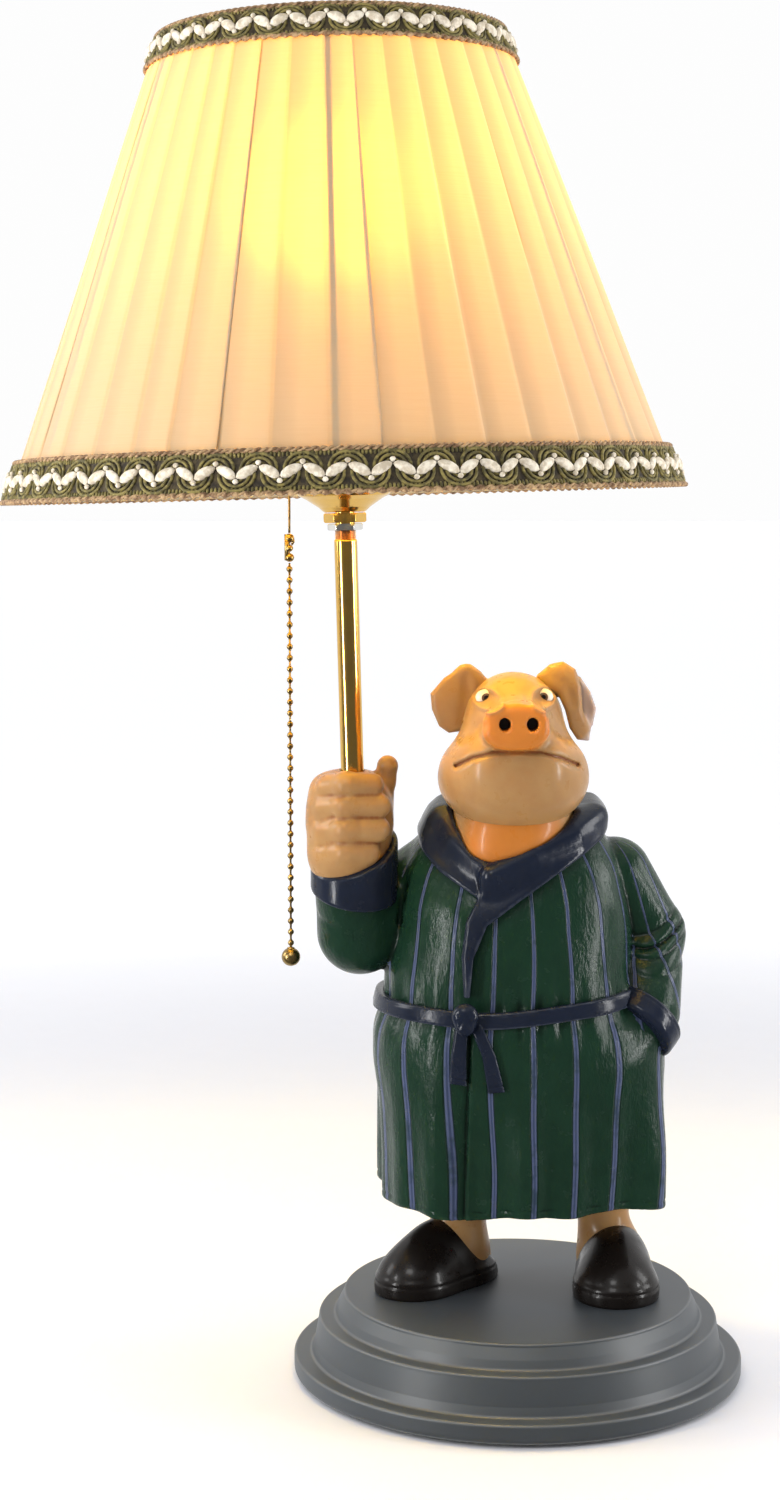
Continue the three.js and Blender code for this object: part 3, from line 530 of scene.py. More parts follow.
def shade_cloth():
    """Cream voile that the bulb shines through, passing less light where its folds lie double; its
    own colour is darker there as painted shade under the fold edges.
    """
    s = Shader("shade_cloth")
    folds = s.value("fold")
    weft = s.noise(500, 3, stretch=(0.12, 0.12, 3.2))
    slubs = s.remap(weft, 0.35, 0.75)
    cloth = s.mix(s.times(slubs, 0.25), (0.42, 0.35, 0.235), (0.38, 0.305, 0.19))
    # Painted shade: the voile's own colour darkens where the folds lie.
    cloth = s.mix(s.times(folds, 0.4), cloth, (0.36, 0.28, 0.16))
    through = s.mix(folds, (1.0, 0.53, 0.085), (0.64, 0.31, 0.035))
    normal = s.bump(weft, 0.3, 0.15)
    s.set(Base_Color=cloth, Roughness=0.8, Normal=normal, Sheen_Weight=0.2)
    passed = s.add("BsdfTranslucent", {"Color": through, "Normal": normal})
    seen = s.add("BsdfRefraction", {"Color": through, "Roughness": 0.6, "IOR": 1.25})
    glow = s.add("MixShader", {0: 0.35, 1: passed.outputs[0], 2: seen.outputs[0]})
    both = s.add("MixShader", {0: 0.105, 1: s.main.outputs[0], 2: glow.outputs[0]})
    s.put(s.tree.nodes["Material Output"], "Surface", both.outputs[0])
    return s.material


def opal_glass():
    """The lit bulb: opal glass that glows warm white."""
    s = Shader("bulb_glass")
    s.set(Base_Color=s.mix(s.noise(60, 2, 0.55), (1, 0.94, 0.82), (1, 0.90, 0.72)),
          Roughness=0.25, Emission_Color=(1.0, 0.70, 0.30), Emission_Strength=6.0)
    return s.material


def eye_paint():
    """Painted eyes: an off-white ball with a dark iris, glossy."""
    s = Shader("eye")
    iris = s.remap(s.value("iris"), 2.05, 1.80)
    pupil = s.remap(s.value("iris"), 1.10, 0.95)
    mottle = s.remap(s.noise(700, 2, 0.55), 0.3, 0.7)
    colour = s.mix(iris, s.mix(mottle, (0.80, 0.74, 0.64), (0.74, 0.66, 0.55)), (0.10, 0.055, 0.03))
    s.set(Base_Color=s.mix(pupil, colour, (0.006, 0.005, 0.005)), Roughness=0.12, Coat_Weight=0.6)
    return s.material


SKIN = skin_glaze()
ROBE = robe_glaze()
NAVY = glaze("navy", (0.010, 0.014, 0.027), (0.003, 0.004, 0.008), (0.065, 0.075, 0.10),
             0.22, 0.05, 0.4)[0].material
SLIPPERS = glaze("slippers", (0.008, 0.006, 0.005), (0.003, 0.002, 0.002), (0.030, 0.018, 0.012),
                 0.30, 0.12, 0.07)[0].material
PAINT, _ = glaze("plinth", (0.040, 0.048, 0.056), (0.036, 0.038, 0.042), (0.17, 0.17, 0.17),
                 0.46, 0.0, 0.03, uneven=False)
PAINT.set(Specular_IOR_Level=0.7)
PLINTH = PAINT.material
EYE = eye_paint()
BRASS = metal("brass", (0.78, 0.49, 0.13), 0.14, (0.62, 0.36, 0.08))
OLD_BRASS = metal("chain_brass", (0.40, 0.28, 0.11), 0.28, (0.15, 0.09, 0.03), (1, 1, 1), 0.8)
COPPER = metal("thread", (0.72, 0.40, 0.20), 0.25, (0.45, 0.22, 0.1))
CHROME = metal("nut_chrome", (0.78, 0.77, 0.74), 0.12, (0.6, 0.58, 0.54))
STEEL = metal("steel", (0.55, 0.55, 0.54), 0.3, (0.4, 0.4, 0.4), (1, 1, 1))
IRON = plain("iron", (0.07, 0.07, 0.075), (0.12, 0.10, 0.09), 0.65, 260, 0.6, 0.5, Metallic=0.8)
FELT = plain("felt", (0.020, 0.030, 0.024), (0.045, 0.055, 0.045), 0.95, 1500, 0.7, 0.4,
             Sheen_Weight=0.4)
BOARD = plain("board", (0.16, 0.10, 0.055), (0.22, 0.15, 0.085), 0.85, 700, 0.3, 0.2)
RUBBER = plain("rubber", (0.012, 0.012, 0.012), (0.02, 0.02, 0.02), 0.6, 500, 0.25, 0.1)
PORCELAIN = plain("porcelain", (0.80, 0.77, 0.70), (0.84, 0.82, 0.77), 0.2, 90, 0.05, 0.1,
                  Coat_Weight=0.4)
CARD = plain("card", (0.06, 0.045, 0.03), (0.09, 0.07, 0.045), 0.85, 600, 0.3, 0.15)
WIRE = plain("wire_paint", (0.72, 0.68, 0.58), (0.78, 0.74, 0.66), 0.4, 400, 0.2, 0.1)
LEAD = plain("lead", (0.34, 0.24, 0.10), (0.42, 0.31, 0.14), 0.5, 500, 0.15, 0.1)
OLIVE = yarn("braid_olive", (0.066, 0.046, 0.015), (0.018, 0.011, 0.004))
SAGE = yarn("braid_sage", (0.25, 0.20, 0.055), (0.080, 0.066, 0.018))
CREAM = yarn("braid_cream", (0.80, 0.73, 0.60), (0.52, 0.44, 0.32), 900)
TAN = yarn("braid_tan", (0.46, 0.30, 0.15), (0.17, 0.09, 0.04))
CLOTH = shade_cloth()
OPAL = opal_glass()


def dress(material, *nodes):
    """Gives kept CAD nodes a finished material."""
    for name in nodes:
        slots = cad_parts[name].data.materials
        for i in range(len(slots)):
            slots[i] = material


# ---- Camera, floor and light -----------------------------------------------------------------

def make_camera():
    data = bpy.data.cameras.new("camera")
    data.sensor_width = 36
    data.lens = 60.96
    camera = add_object("camera", data)
    camera.location = (-0.0542, -1.0565, 0.3676)
    camera.rotation_euler = (math.radians(84.5), 0, 0)
    bpy.context.scene.camera = camera


def floor_paper():
    """White paper that brightens away from the lamp, so that it meets the backdrop unseen."""
    near_squared, far_squared, most_light = 0.05, 1.5, 0.333
    s = Shader("floor")
    x, y, _ = s.add("SeparateXYZ", {0: s.place()}).outputs
    away = s.remap(s.plus(s.times(x, x), s.times(y, y)), near_squared, far_squared, 0, most_light)
    tone = s.mix(s.noise(40, 4, 0.55), (0.705, 0.71, 0.755), (0.725, 0.73, 0.775))
    s.set(Base_Color=tone, Roughness=0.7, Emission_Strength=away, Emission_Color=(1, 1, 1))
    return s.material


def make_floor():
    size = 60.0
    corners = [(-size, -size, 0), (size, -size, 0), (size, size, 0), (-size, size, 0)]
    mesh = bpy.data.meshes.new("floor")
    mesh.from_pydata(corners, [], [(0, 1, 2, 3)])
    mesh.materials.append(floor_paper())
    floor = add_object("floor", mesh)
    floor.visible_glossy = False


def make_world():
    """A plain pale backdrop for the camera. The light on the lamp comes mostly from behind it."""
    backdrop, front_light, back_light = 0.985, 0.15, 0.96
    world = bpy.data.worlds.new("studio")
    bpy.context.scene.world = world
    world.use_nodes = True
    nodes, links = world.node_tree.nodes, world.node_tree.links
    split = nodes.new("ShaderNodeSeparateXYZ")
    links.new(nodes.new("ShaderNodeTexCoord").outputs["Generated"], split.inputs[0])
    fade = nodes.new("ShaderNodeMapRange")
    fade.interpolation_type = "SMOOTHSTEP"
    for key, value in (("From Min", -0.25), ("From Max", 0.35), ("To Min", front_light),
                       ("To Max", back_light)):
        fade.inputs[key].default_value = value
    links.new(split.outputs[1], fade.inputs["Value"])
    seen = nodes.new("ShaderNodeMix")
    seen.inputs["B"].default_value = backdrop
    links.new(nodes.new("ShaderNodeLightPath").outputs["Is Camera Ray"], seen.inputs["Factor"])
    links.new(fade.outputs[0], seen.inputs["A"])
    nodes["Background"].inputs["Color"].default_value = (1, 1, 1, 1)
    links.new(seen.outputs["Result"], nodes["Background"].inputs["Strength"])


MIDDLE, HIGH = (-0.03, 0, 0.22), (-0.05, 0, 0.46)
AREA_LIGHTS = [  # name, place, what it faces, width and height, watts
    ("left_strip", (-0.75, -0.50, 0.24), MIDDLE, (0.08, 0.5), 4.4),
    ("right_strip", (0.80, -0.28, 0.26), MIDDLE, (0.08, 0.5), 3.6),
    ("left_high", (-0.85, 0.05, 0.50), HIGH, (0.25, 0.35), 2.4),
    ("right_high", (0.78, 0.08, 0.50), HIGH, (0.25, 0.35), 2.2),
    ("front_top", (-0.25, -0.9, 1.0), MIDDLE, (0.35, 0.25), 3.2),
]


def make_light():
    for name, place, target, size, watts in AREA_LIGHTS:
        data = bpy.data.lights.new(name, "AREA")
        data.shape = "RECTANGLE"
        data.size, data.size_y = size
        data.energy = watts
        light = add_object(name, data)
        light.location = place
        aim = Vector(target) - Vector(place)
        light.rotation_euler = aim.to_track_quat("-Z", "Y").to_euler()
    sun = bpy.data.lights.new("overhead", "SUN")
    sun.energy = 1.1
    sun.angle = math.radians(110)
    add_object("overhead", sun).rotation_euler = (math.radians(8), math.radians(-10), 0)
    bulb = bpy.data.lights.new("bulb_glow", "POINT")
    bulb.energy = 6.0
    bulb.color = (1.0, 0.73, 0.09)
    bulb.shadow_soft_size = (BULB_RADIUS - 1) * MM
    glow = add_object("bulb_glow", bulb)
    glow.location = ON_STEM @ Vector((0, 0, BULB_HEIGHT * MM))
    glow.visible_camera = False


bpy.context.scene.view_settings.view_transform = "Standard"
make_camera()
make_floor()
make_world()
make_light()


# ---- Plinth ----------------------------------------------------------------------------------

def arc(centre, radius, start, end, count=6):
    """Outline points round an arc, angles in degrees."""
    angles = np.radians(np.linspace(start, end, count))
    return [[centre[0] + radius * c, centre[1] + radius * s]
            for c, s in zip(np.cos(angles), np.sin(angles))]


def make_plinth():
    outline = [[0, 24], [68, 24], [68, 1.7], [92.8, 1.7]]
    outline += arc((92.8, 3.9), 2.2, -90, 0) + arc((93.8, 8.7), 1.2, 0, 88)
    outline += arc((88.6, 11.3), 1.4, 269, 200) + [[86.2, 14.0], [84.4, 24.2]]
    outline += arc((83.4, 24.7), 1.0, 10, 88) + arc((78.6, 27.1), 1.4, 269, 200)
    outline += [[76.1, 29.6], [73.7, 34.2]] + arc((72.8, 34.5), 1.0, 10, 88)
    outline += [[68, 35.5], [0, 35.5]]
    piece = turned("plinth_casting", outline, PLINTH, 192, sharp=60)
    points = np.array([v.co for v in piece.data.vertices]) / MM
    radius = length(points[:, :2])

    def wear_and_highlight(circles, width):
        away = np.minimum.reduce([np.hypot(radius - r, points[:, 2] - z) for r, z in circles])
        return np.exp(-(away / width) ** 2)

    # Lighter lines, written into the hollow value: in the coves a painted highlight where they
    # catch the light, along the step edges rubbed paint with a painted highlight.
    edges, coves = [(94.6, 9.5), (84.1, 25.3), (73.4, 35.1)], [(87.8, 10.3), (77.8, 26.1)]
    add_value(piece.data, "hollow", -0.35 * (wear_and_highlight(edges, 1.0) + wear_and_highlight(coves, 1.2)))
    settle_on(piece, "base", "plinth_paint", "plinth")
    outline = [[0, 0.02], [89.7, 0.02], [90, 0.3], [90, 1.1], [89.7, 1.3], [0, 1.3]]
    felt = turned("felt_ring", outline, FELT, 96)
    settle_on(felt, "base", "felt", "felt_pad")
    dress(BOARD, "bottom_cover")
    dress(IRON, "ballast_disc")
    dress(PORCELAIN, "terminal_block")
    dress(LEAD, "inner_lead")
    dress(STEEL, "figure_screw_left", "figure_screw_right",
          *(f"cover_screw_{i}" for i in (1, 2, 3)))
    low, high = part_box("cord_grommet")
    centre = [(low[i] + high[i]) / 2 for i in (0, 2)]
    length_mm = (high[1] - low[1]) / MM
    outline = [[3.2, 0], [6.1, 0.4], [6.1, 2.4], [4.6, 2.4], [4.6, length_mm - 3.1],
               [6.1, length_mm - 3.1]] + arc((5.3, length_mm - 1.4), 0.8, 0, 80, 4)
    outline += [[4.2, length_mm - 0.1], [3.2, length_mm]]
    lying = Matrix.Rotation(-math.pi / 2, 4, "X")
    place = Matrix.Translation((centre[0], low[1], centre[1])) @ lying
    grommet = turned("outlet_grommet", outline, RUBBER, 48, place)
    settle_on(grommet, "base", "grommet_rubber", "cord_grommet")


make_plinth()


# ---- Figure: the gown and what lies on it ----------------------------------------------------

HEIGHTS = np.arange(70.0, 252.0)
SECTIONS = [  # height, centre x, half width, depth to the front, depth to the back
    (77, 1.2, 60, 45, 44), (100, 1.2, 60, 46, 45), (120, 0.6, 60.3, 47, 46),
    (138, 0, 62, 48, 47), (150, -1.4, 60, 48, 46), (161.5, -3, 54, 45.5, 43.5),
    (172, -4, 52.4, 46, 43), (188, -4, 51, 45, 42), (204, -4, 49, 42, 40),
    (219, -3.5, 46, 36, 36), (231, -3, 39, 28, 30), (241, -2.5, 27, 19, 22),
    (248, -2.5, 8, 6, 8),
]


def smoothed_profile(column):
    values = np.interp(HEIGHTS, [s[0] for s in SECTIONS], [s[column] for s in SECTIONS])
    return np.convolve(np.pad(values, 4, mode="edge"), np.ones(9) / 9, "valid")


CENTRE, HALF, FRONT, BACK = (smoothed_profile(i) for i in range(1, 5))
STEEPNESS = np.sqrt(1 + np.gradient(HALF) ** 2)


def gown_shell(p):
    """The torso of the gown without its folds."""
    z = p[:, 2]
    x = p[:, 0] - np.interp(z, HEIGHTS, CENTRE)
    depth = np.where(p[:, 1] < 0, np.interp(z, HEIGHTS, FRONT), np.interp(z, HEIGHTS, BACK))
    half = np.interp(z, HEIGHTS, HALF)
    reach = length(np.stack([x, p[:, 1]], 1))
    power = 2.3
    scale = (np.abs(x / half) ** power + np.abs(p[:, 1] / depth) ** power) ** (1 / power)
    radial = reach * (1 - 1 / np.maximum(scale, 1e-3))
    side = radial / np.interp(z, HEIGHTS, STEEPNESS)
    return np.maximum(side, z - 247)


def gown_folds(p):
    """How far the gown's folds stand out, in millimetres."""
    x, y, z = p.T
    around = np.arctan2(x, -y)
    skirt = ramp(z, 156, 92)
    hang = (np.sin(6 * around + 0.6) + 0.7 * np.sin(10 * around + 2.2)
            + 0.4 * np.sin(17 * around + 0.9))
    gather = np.exp(-((z - WAIST) / 13) ** 2)
    tucks = np.sin(31 * around + 1.1 * np.sin(3 * around)) * (0.6 + 0.4 * np.sin(5 * around + 1))
    chest = np.exp(-((z - 190) / 22) ** 2) * np.sin(4 * around + z / 9)
    return 2.3 * skirt * hang + 0.8 * gather * tucks + 0.7 * chest


RAISED_ARM = [((-39, 4, 210), (-66, -7, 191), 17.5, 17.2),
              ((-67, -8, 190.5), (-68.4, -14, 208), 17.4, 16.8)]
POCKET_ARM = [((40, 3, 213), (55.5, 5, 188), 16, 14.6),
              ((55.5, 5, 188), (52, -14, 158), 14.6, 14.6)]
POCKET_HAND = ((49, -17, 153), (34, -22, 138), 12.5, 11)


def sleeves(p):
    """The fields of the raised and the pocketed arm."""
    return [joined(*(limb(p, *part) for part in arm), 3) for arm in (RAISED_ARM, POCKET_ARM)]


def sleeve_creases(field, p):
    """Soft folds where the arms bend."""
    for points, width, depth in (
            ([(-46, -14, 202), (-53, -24, 190), (-62, -27, 183)], 2.2, 0.9),
            ([(-84, -14, 199), (-76, -28, 194), (-66, -30, 193)], 2.0, 0.6),
            ([(-48, -18, 212), (-50.5, -18, 198), (-51, -14, 182)], 1.6, 1.4)):
        field = groove(field, path_distance(p, points), width, depth)
    x, y, z = p.T
    elbow = ramp(x, 43, 50) * ramp(y, 8, -6)
    for height, slant, width, depth in ((184.5, 0.22, 0.9, 2.0), (180.0, 0.10, 1.3, 0.9),
                                        (190.5, 0.38, 1.6, 0.9), (173.0, -0.05, 1.6, 0.6)):
        away = z - height - slant * (x - 54) - 0.03 * (x - 54) ** 2
        field = groove(field, away, width, depth * elbow)
    return field


HEM = 77.8
OVERLAP = [(-23.4, 70), (-21.4, 160)]  # the gown's front edge, in X and Z


def gown(p):
    """The gown with its sleeves and the hand in its pocket, open below."""
    x, y, z = p.T
    wall = 7.5
    body = gown_shell(p) - gown_folds(p)
    edge = np.interp(z, [a[1] for a in OVERLAP], [a[0] for a in OVERLAP])
    over = ramp(x, edge - 0.5, edge + 0.5) * ramp(x, 30, -5) * (y < 0) * ramp(z, 167, 158)
    body = body - 1.3 * over
    body = groove(body, np.hypot(x - edge + 0.7, np.maximum(z - 158, 0)) + 50 * (y > 0), 0.7, 0.9)
    raised, pocket = sleeves(p)
    body = joined(body, limb(p, *POCKET_HAND), 9)
    body = joined(joined(body, raised, 3.0), pocket, 1.6)
    body = sleeve_creases(body, p)
    around = np.arctan2(x, -y)
    hem = HEM + 0.9 * np.sin(3 * around + 0.4) + 0.9 * np.sin(7 * around + 1.9)
    body = shared(body, hem - z, 1.6)
    body = groove(body, np.abs(z - hem - 3.4), 0.45, 0.35)
    inside = np.maximum(gown_shell(p) + wall, z - 88)
    return carved(body, inside, 1.0)


def arm_mask(p):
    raised, pocket = sleeves(p)
    return (np.minimum(raised, pocket) < gown_shell(p) - gown_folds(p)).astype(float)


def arm_turns(p):
    """Stripes along the pocketed arm's sleeve, counted round its axis. The raised one has none."""
    raised, pocket = sleeves(p)
    turn = np.arctan2(p[:, 0] - 50 + 0.3 * (p[:, 2] - 190), -(p[:, 1] + 1)) * 1.25
    return np.where(raised < pocket, 0.0, turn)


def neck(p):
    return joined(ellipsoid(p, (-3.5, -15, 238), (25, 26, 22)),
                  ellipsoid(p, (-7, -24, 228), (19, 17.5, 16)), 6)


def make_gown():
    field = lambda p: carved(gown(p), neck(p) - 0.2, 1.0)
    sculpt_all("robe_glaze", ROBE, [
        ("dressing_gown", field, (-90, -56, 72), (76, 54, 252), 1.05,
         ["robe", "raised_sleeve", "pocket_sleeve"],
         {"on_sleeve": arm_mask, "sleeve_turn": arm_turns})])


LEFT_LAPEL = [(-24, 250), (-38, 246), (-46, 238), (-43, 228), (-34, 219), (-22, 211.5),
              (-13, 206), (-8, 214), (-10, 224), (-20, 240)]
RIGHT_LAPEL = [(22, 252), (33, 248), (40, 243), (40, 237), (33, 231.5), (17, 221), (-2, 208.5),
               (-15, 199), (-20.5, 186), (-22, 170), (-24.4, 170), (-25.4, 186), (-23.6, 200),
               (-17, 213), (-12, 221), (2, 230), (18, 241)]
LEFT_ROLL = [(-1, 21, 242), (-19, 17, 242.5), (-31, 3, 242.5), (-32, -12, 239), (-26, -27, 231),
             (-15, -37, 221.5)]
RIGHT_ROLL = [(-1, 21, 242), (17, 17, 243), (29, 3, 243), (30, -13, 240), (20, -28, 233.5),
              (3, -38, 226.5), (-13, -42, 219)]


def collar(p):
    """A shawl collar: a roll round the neck that spreads into two lapels, the right one on top."""
    x, y, z = p.T
    shell = joined(gown_shell(p), joined(*sleeves(p), 1), 4)
    layer = lambda thickness: np.maximum(shell - thickness, -2 - shell)
    lapel = lambda thickness, outline: shared(
        shared(layer(thickness), in_outline(x, z, outline), 1.8), y - 10, 3)
    under = joined(shared(lapel(3.6, LEFT_LAPEL), -43 - x, 4), path_distance(p, LEFT_ROLL) - 4.6, 7)
    over = joined(shared(lapel(4.8, RIGHT_LAPEL), x - 36, 4), path_distance(p, RIGHT_ROLL) - 4.8, 7)
    back = shared(shared(layer(4.0), 228 + 0.002 * (x + 3) ** 2 - z, 1.8), -14 - y, 4)
    back = shared(shared(back, np.abs(x + 3) - 38, 5), z - 243.5, 3)
    cloth = joined(joined(under, back, 4), over, 1.4)
    cloth = carved(cloth, neck(p) - 0.4, 1.6)
    return carved(cloth, head_mass(p) - 0.5, 1.6)


def belt(p):
    x, _, z = p.T
    shell = gown_shell(p) - 0.9
    height = WAIST - 0.8 + 0.0013 * (np.clip(x, -60, 42) + 25) ** 2 + 0.4 * np.sin(x / 9)
    band = np.maximum(shell - 2.7, -1.5 - shell)
    band = shared(band, np.abs(z - height) - 3.3, 1.3)
    for stitch in (2.2, -2.2):
        band = groove(band, z - height - stitch, 0.4, 0.25)
    return carved(band, pocket_ring(p, 1.2), 0.6)


def belt_knot(p):
    knot = ellipsoid(p, (-24, -50.5, 162.8), (5.4, 3.6, 5.6))
    knot = joined(knot, ellipsoid(p, (-24, -51.5, 158.6), (3.8, 3.0, 3.4)), 1.5)
    for points in ([(-29, -53, 165.5), (-24, -55, 163), (-19, -53, 164.5)],
                   [(-27, -54.5, 158), (-25.5, -54.5, 162)],
                   [(-21, -54.5, 158), (-22.5, -54.5, 162)]):
        knot = groove(knot, path_distance(p, points), 0.7, 0.7)
    return knot


def belt_ends(p):
    outlines = ([(-27.5, 160), (-29.6, 146), (-30.2, 134.6), (-23.2, 133.8), (-23.4, 146),
                 (-22.5, 160)],
                [(-22.6, 160), (-17, 146), (-14.6, 131), (-7.8, 132), (-11.6, 147), (-17.5, 160)])
    shell = gown_shell(p) - gown_folds(p) - 1.0
    layer = np.maximum(shell - 2.6, -3 - shell)
    ends = np.minimum(*(shared(layer, in_outline(p[:, 0], p[:, 2], o), 1.0) for o in outlines))
    stitches = [(-29.5, 0, 137.2), (-23.4, 0, 136.4)], [(-13.8, 0, 133.8), (-8.3, 0, 134.8)]
    away = np.minimum(*(path_distance(p * [1, 0, 1], line) for line in stitches))
    return groove(ends, away, 0.4, 0.3)


WRIST = Vector((-0.58, -0.52, -0.62)).normalized()
WRIST_PLACE = np.array((49.8, -17.5, 154.3))


def pocket_ring(p, grow=0.0):
    """The turned-back cuff of the arm in the pocket."""
    q = p - WRIST_PLACE
    along = q @ np.array(WRIST)
    across = length(q - along[:, None] * np.array(WRIST))
    ring = shared(across - 17.2 - grow, np.abs(along) - 5.2 - grow, 2.6)
    ring = groove(ring, np.abs(along + 2.8) + 3 * (across < 14), 0.4, 0.3)
    return ring if grow else carved(ring, across - 11, 0.6)


def raised_ring(p):
    """The cuff round the raised wrist, its rim low in front and high behind."""
    x, y, z = p.T
    across = np.hypot(x + 69, y + 14)
    rim = 225.8 + 0.26 * (x + 69) + 0.48 * (y + 14)
    foot = 207.6 - 0.12 * (x + 69) + 0.30 * (y + 14)
    ring = shared(across - 18.1, np.maximum((z - rim) / 1.2, (foot - z) / 1.1), 1.6)
    return carved(ring, np.maximum(across - 14.6, foot + 3 - z), 0.8)


def make_dress():
    sculpt_all("navy_glaze", NAVY, [
        ("shawl", collar, (-50, -56, 164), (50, 46, 252), 0.8, ["shawl_collar"]),
        ("sash", belt, (-64, -54, 150), (64, 52, 174), 0.8, ["belt"]),
        ("sash_knot", belt_knot, (-32, -58, 152), (-15, -44, 170), 0.4, ["belt_knot"]),
        ("sash_ends", belt_ends, (-34, -56, 127), (-3, -38, 163), 0.5,
         ["belt_end_left", "belt_end_right"]),
        ("cuff_at_pocket", pocket_ring, (28, -40, 134), (74, 6, 178), 0.7, ["pocket_cuff"]),
        ("cuff_raised", raised_ring, (-90, -36, 194), (-48, 8, 242), 0.7, ["raised_cuff"])])


# ---- Figure: head, hand and feet -------------------------------------------------------------

SNOUT_TIP = np.array([-4.4, -60.0, 280.8])
NOSTRILS = (-8.9, 2.1)
NOSTRIL_HEIGHT = 281.6


def snout(p, grow=0.0):
    """An oval disc on a short muzzle."""
    q = p - SNOUT_TIP
    along = q @ np.array([0.0, -0.985, 0.172])
    across = np.hypot(q[:, 0] / 1.42, q @ np.array([0.0, 0.172, 0.985]))
    wide = 9.7 - 0.06 * np.maximum(-along - 6, 0) + grow
    return shared(across - wide, np.maximum(along, -26 - along), 4.2)


def head_mass(p):
    """The jowls, chin, cheeks and crown."""
    mass = ellipsoid(p, (-3.7, -21, 255), (30.2, 28, 20))
    mass = joined(mass, ellipsoid(p, (-3.6, -30, 256), (22, 20, 16)), 9)
    mass = joined(mass, ellipsoid(p, (-3.6, -24, 262), (27, 26, 16)), 10)
    return joined(mass, ellipsoid(p, (-3.4, -14, 279), (20.5, 25, 20.5)), 9)


EYES = [(-15.2, 290.0), (7.9, 290.3)]
MOUTH = [(-27.5, 263.2), (-21, 267.2), (-13, 269.6), (-4, 270.2), (6, 269.6), (14.5, 267.0),
         (21.5, 263.4)]
SNOUT_FOLDS = [(-25, 273), (-20, 276), (-17, 281)], [(18, 273), (13, 276), (10, 281)]


def line_on_face(p, points):
    """How far p is, seen from the front, from a line of X and Z points on the face."""
    return path_distance(p * [1, 0, 1], [(x, 0, z) for x, z in points])


def nostril(p, side):
    return np.hypot(p[:, 0] - side, (p[:, 2] - NOSTRIL_HEIGHT) / 1.12)


def head(p):
    x, y, z = p.T
    bridge = limb(p, (-3.4, -26, 280), (-3.4, -46, 279.5), 15, 11)
    lips = limb(p, (-13, -40, 266), (6, -40, 266), 9)
    mass = joined(joined(joined(head_mass(p), bridge, 6), lips, 8), snout(p), 2.2)
    for side in NOSTRILS:
        mass = carved(mass, np.maximum(nostril(p, side) - 2.35, y + 52), 0.9)
    mass = groove(mass, line_on_face(p, MOUTH) + 20 * (y > -24), 0.95, 1.7)
    for ex, ez in EYES:
        lid = np.hypot((x - ex) / 1.35, (z - ez) / 0.95) + 30 * (y > -22)
        mass = groove(groove(mass, lid - 4.0, 1.0, -0.9), lid, 2.6, 1.7)
    for points in SNOUT_FOLDS:
        mass = groove(mass, line_on_face(p, points) + 20 * (y > -22), 1.6, 0.5)
    return mass


# The snout's warmer paint, with orange painted lamp light over it.
def snout_paint_and_lamp_light(p):
    return ramp(snout(p, 0.6), 1.6, -0.8) * ramp(p[:, 1], -47, -56)


def head_shadow(p):
    """Painted shade in the nostrils."""
    hole = np.minimum(*(nostril(p, side) for side in NOSTRILS))
    return ramp(hole, 2.9, 2.0) * ramp(p[:, 1], -57.2, -55) * ramp(p[:, 1], -30, -40)


def flap(p, outline, middle, bend, thickness):
    """A thin curved ear flap: a flat outline in X and Z, bent in Y."""
    x, y, z = p.T
    sheet = middle[1] + bend * ((x - middle[0]) ** 2 + 0.5 * (z - middle[2]) ** 2)
    return shared(np.abs(y - sheet) - thickness, in_outline(x, z, outline), 2.2)


def ear_left(p):
    outer = [(-15, 294), (-17, 299), (-21, 302), (-25, 301.5), (-32, 297), (-37.6, 290.5),
             (-37, 284), (-34, 277), (-30, 274.2), (-22, 275.4), (-18, 280), (-16, 288)]
    blade = flap(p, outer, (-28, -15, 287), 0.022, 2.0)
    fold = limb(p, (-16.5, -10, 292), (-23, -13.5, 299), 4.2, 2.8)
    root = limb(p, (-15, -9, 288), (-20, -11.5, 285), 6, 4)
    blade = joined(joined(blade, fold, 4), root, 5)
    hollow = [(-22.6, -17, 298), (-22.5, -17, 288), (-24, -17, 279)]
    return groove(blade, path_distance(p, hollow), 2.2, 1.1)


def ear_right(p):
    front = [(7, 298), (11.5, 302.2), (17, 303.6), (22, 300.6), (24.4, 293), (25, 284),
             (28.6, 275), (28.2, 270.6), (23, 271.4), (19.6, 276.5), (17.6, 284), (14.5, 291)]
    back = [(18, 300), (24.4, 297), (28.6, 291), (31, 284), (29.6, 277.5), (24, 275)]
    blade = flap(p, front, (17, -17.5, 287), 0.03, 2.1)
    behind = flap(p, back, (22, -9.5, 287), -0.015, 1.9)
    root = limb(p, (9, -11, 291), (15, -12, 297), 6, 4.4)
    ear = joined(joined(blade, root, 4), behind, 3)
    hollow = [(12.5, -20, 298.5), (18, -20.5, 296), (21, -20, 287)]
    return groove(ear, path_distance(p, hollow), 1.8, 0.9)


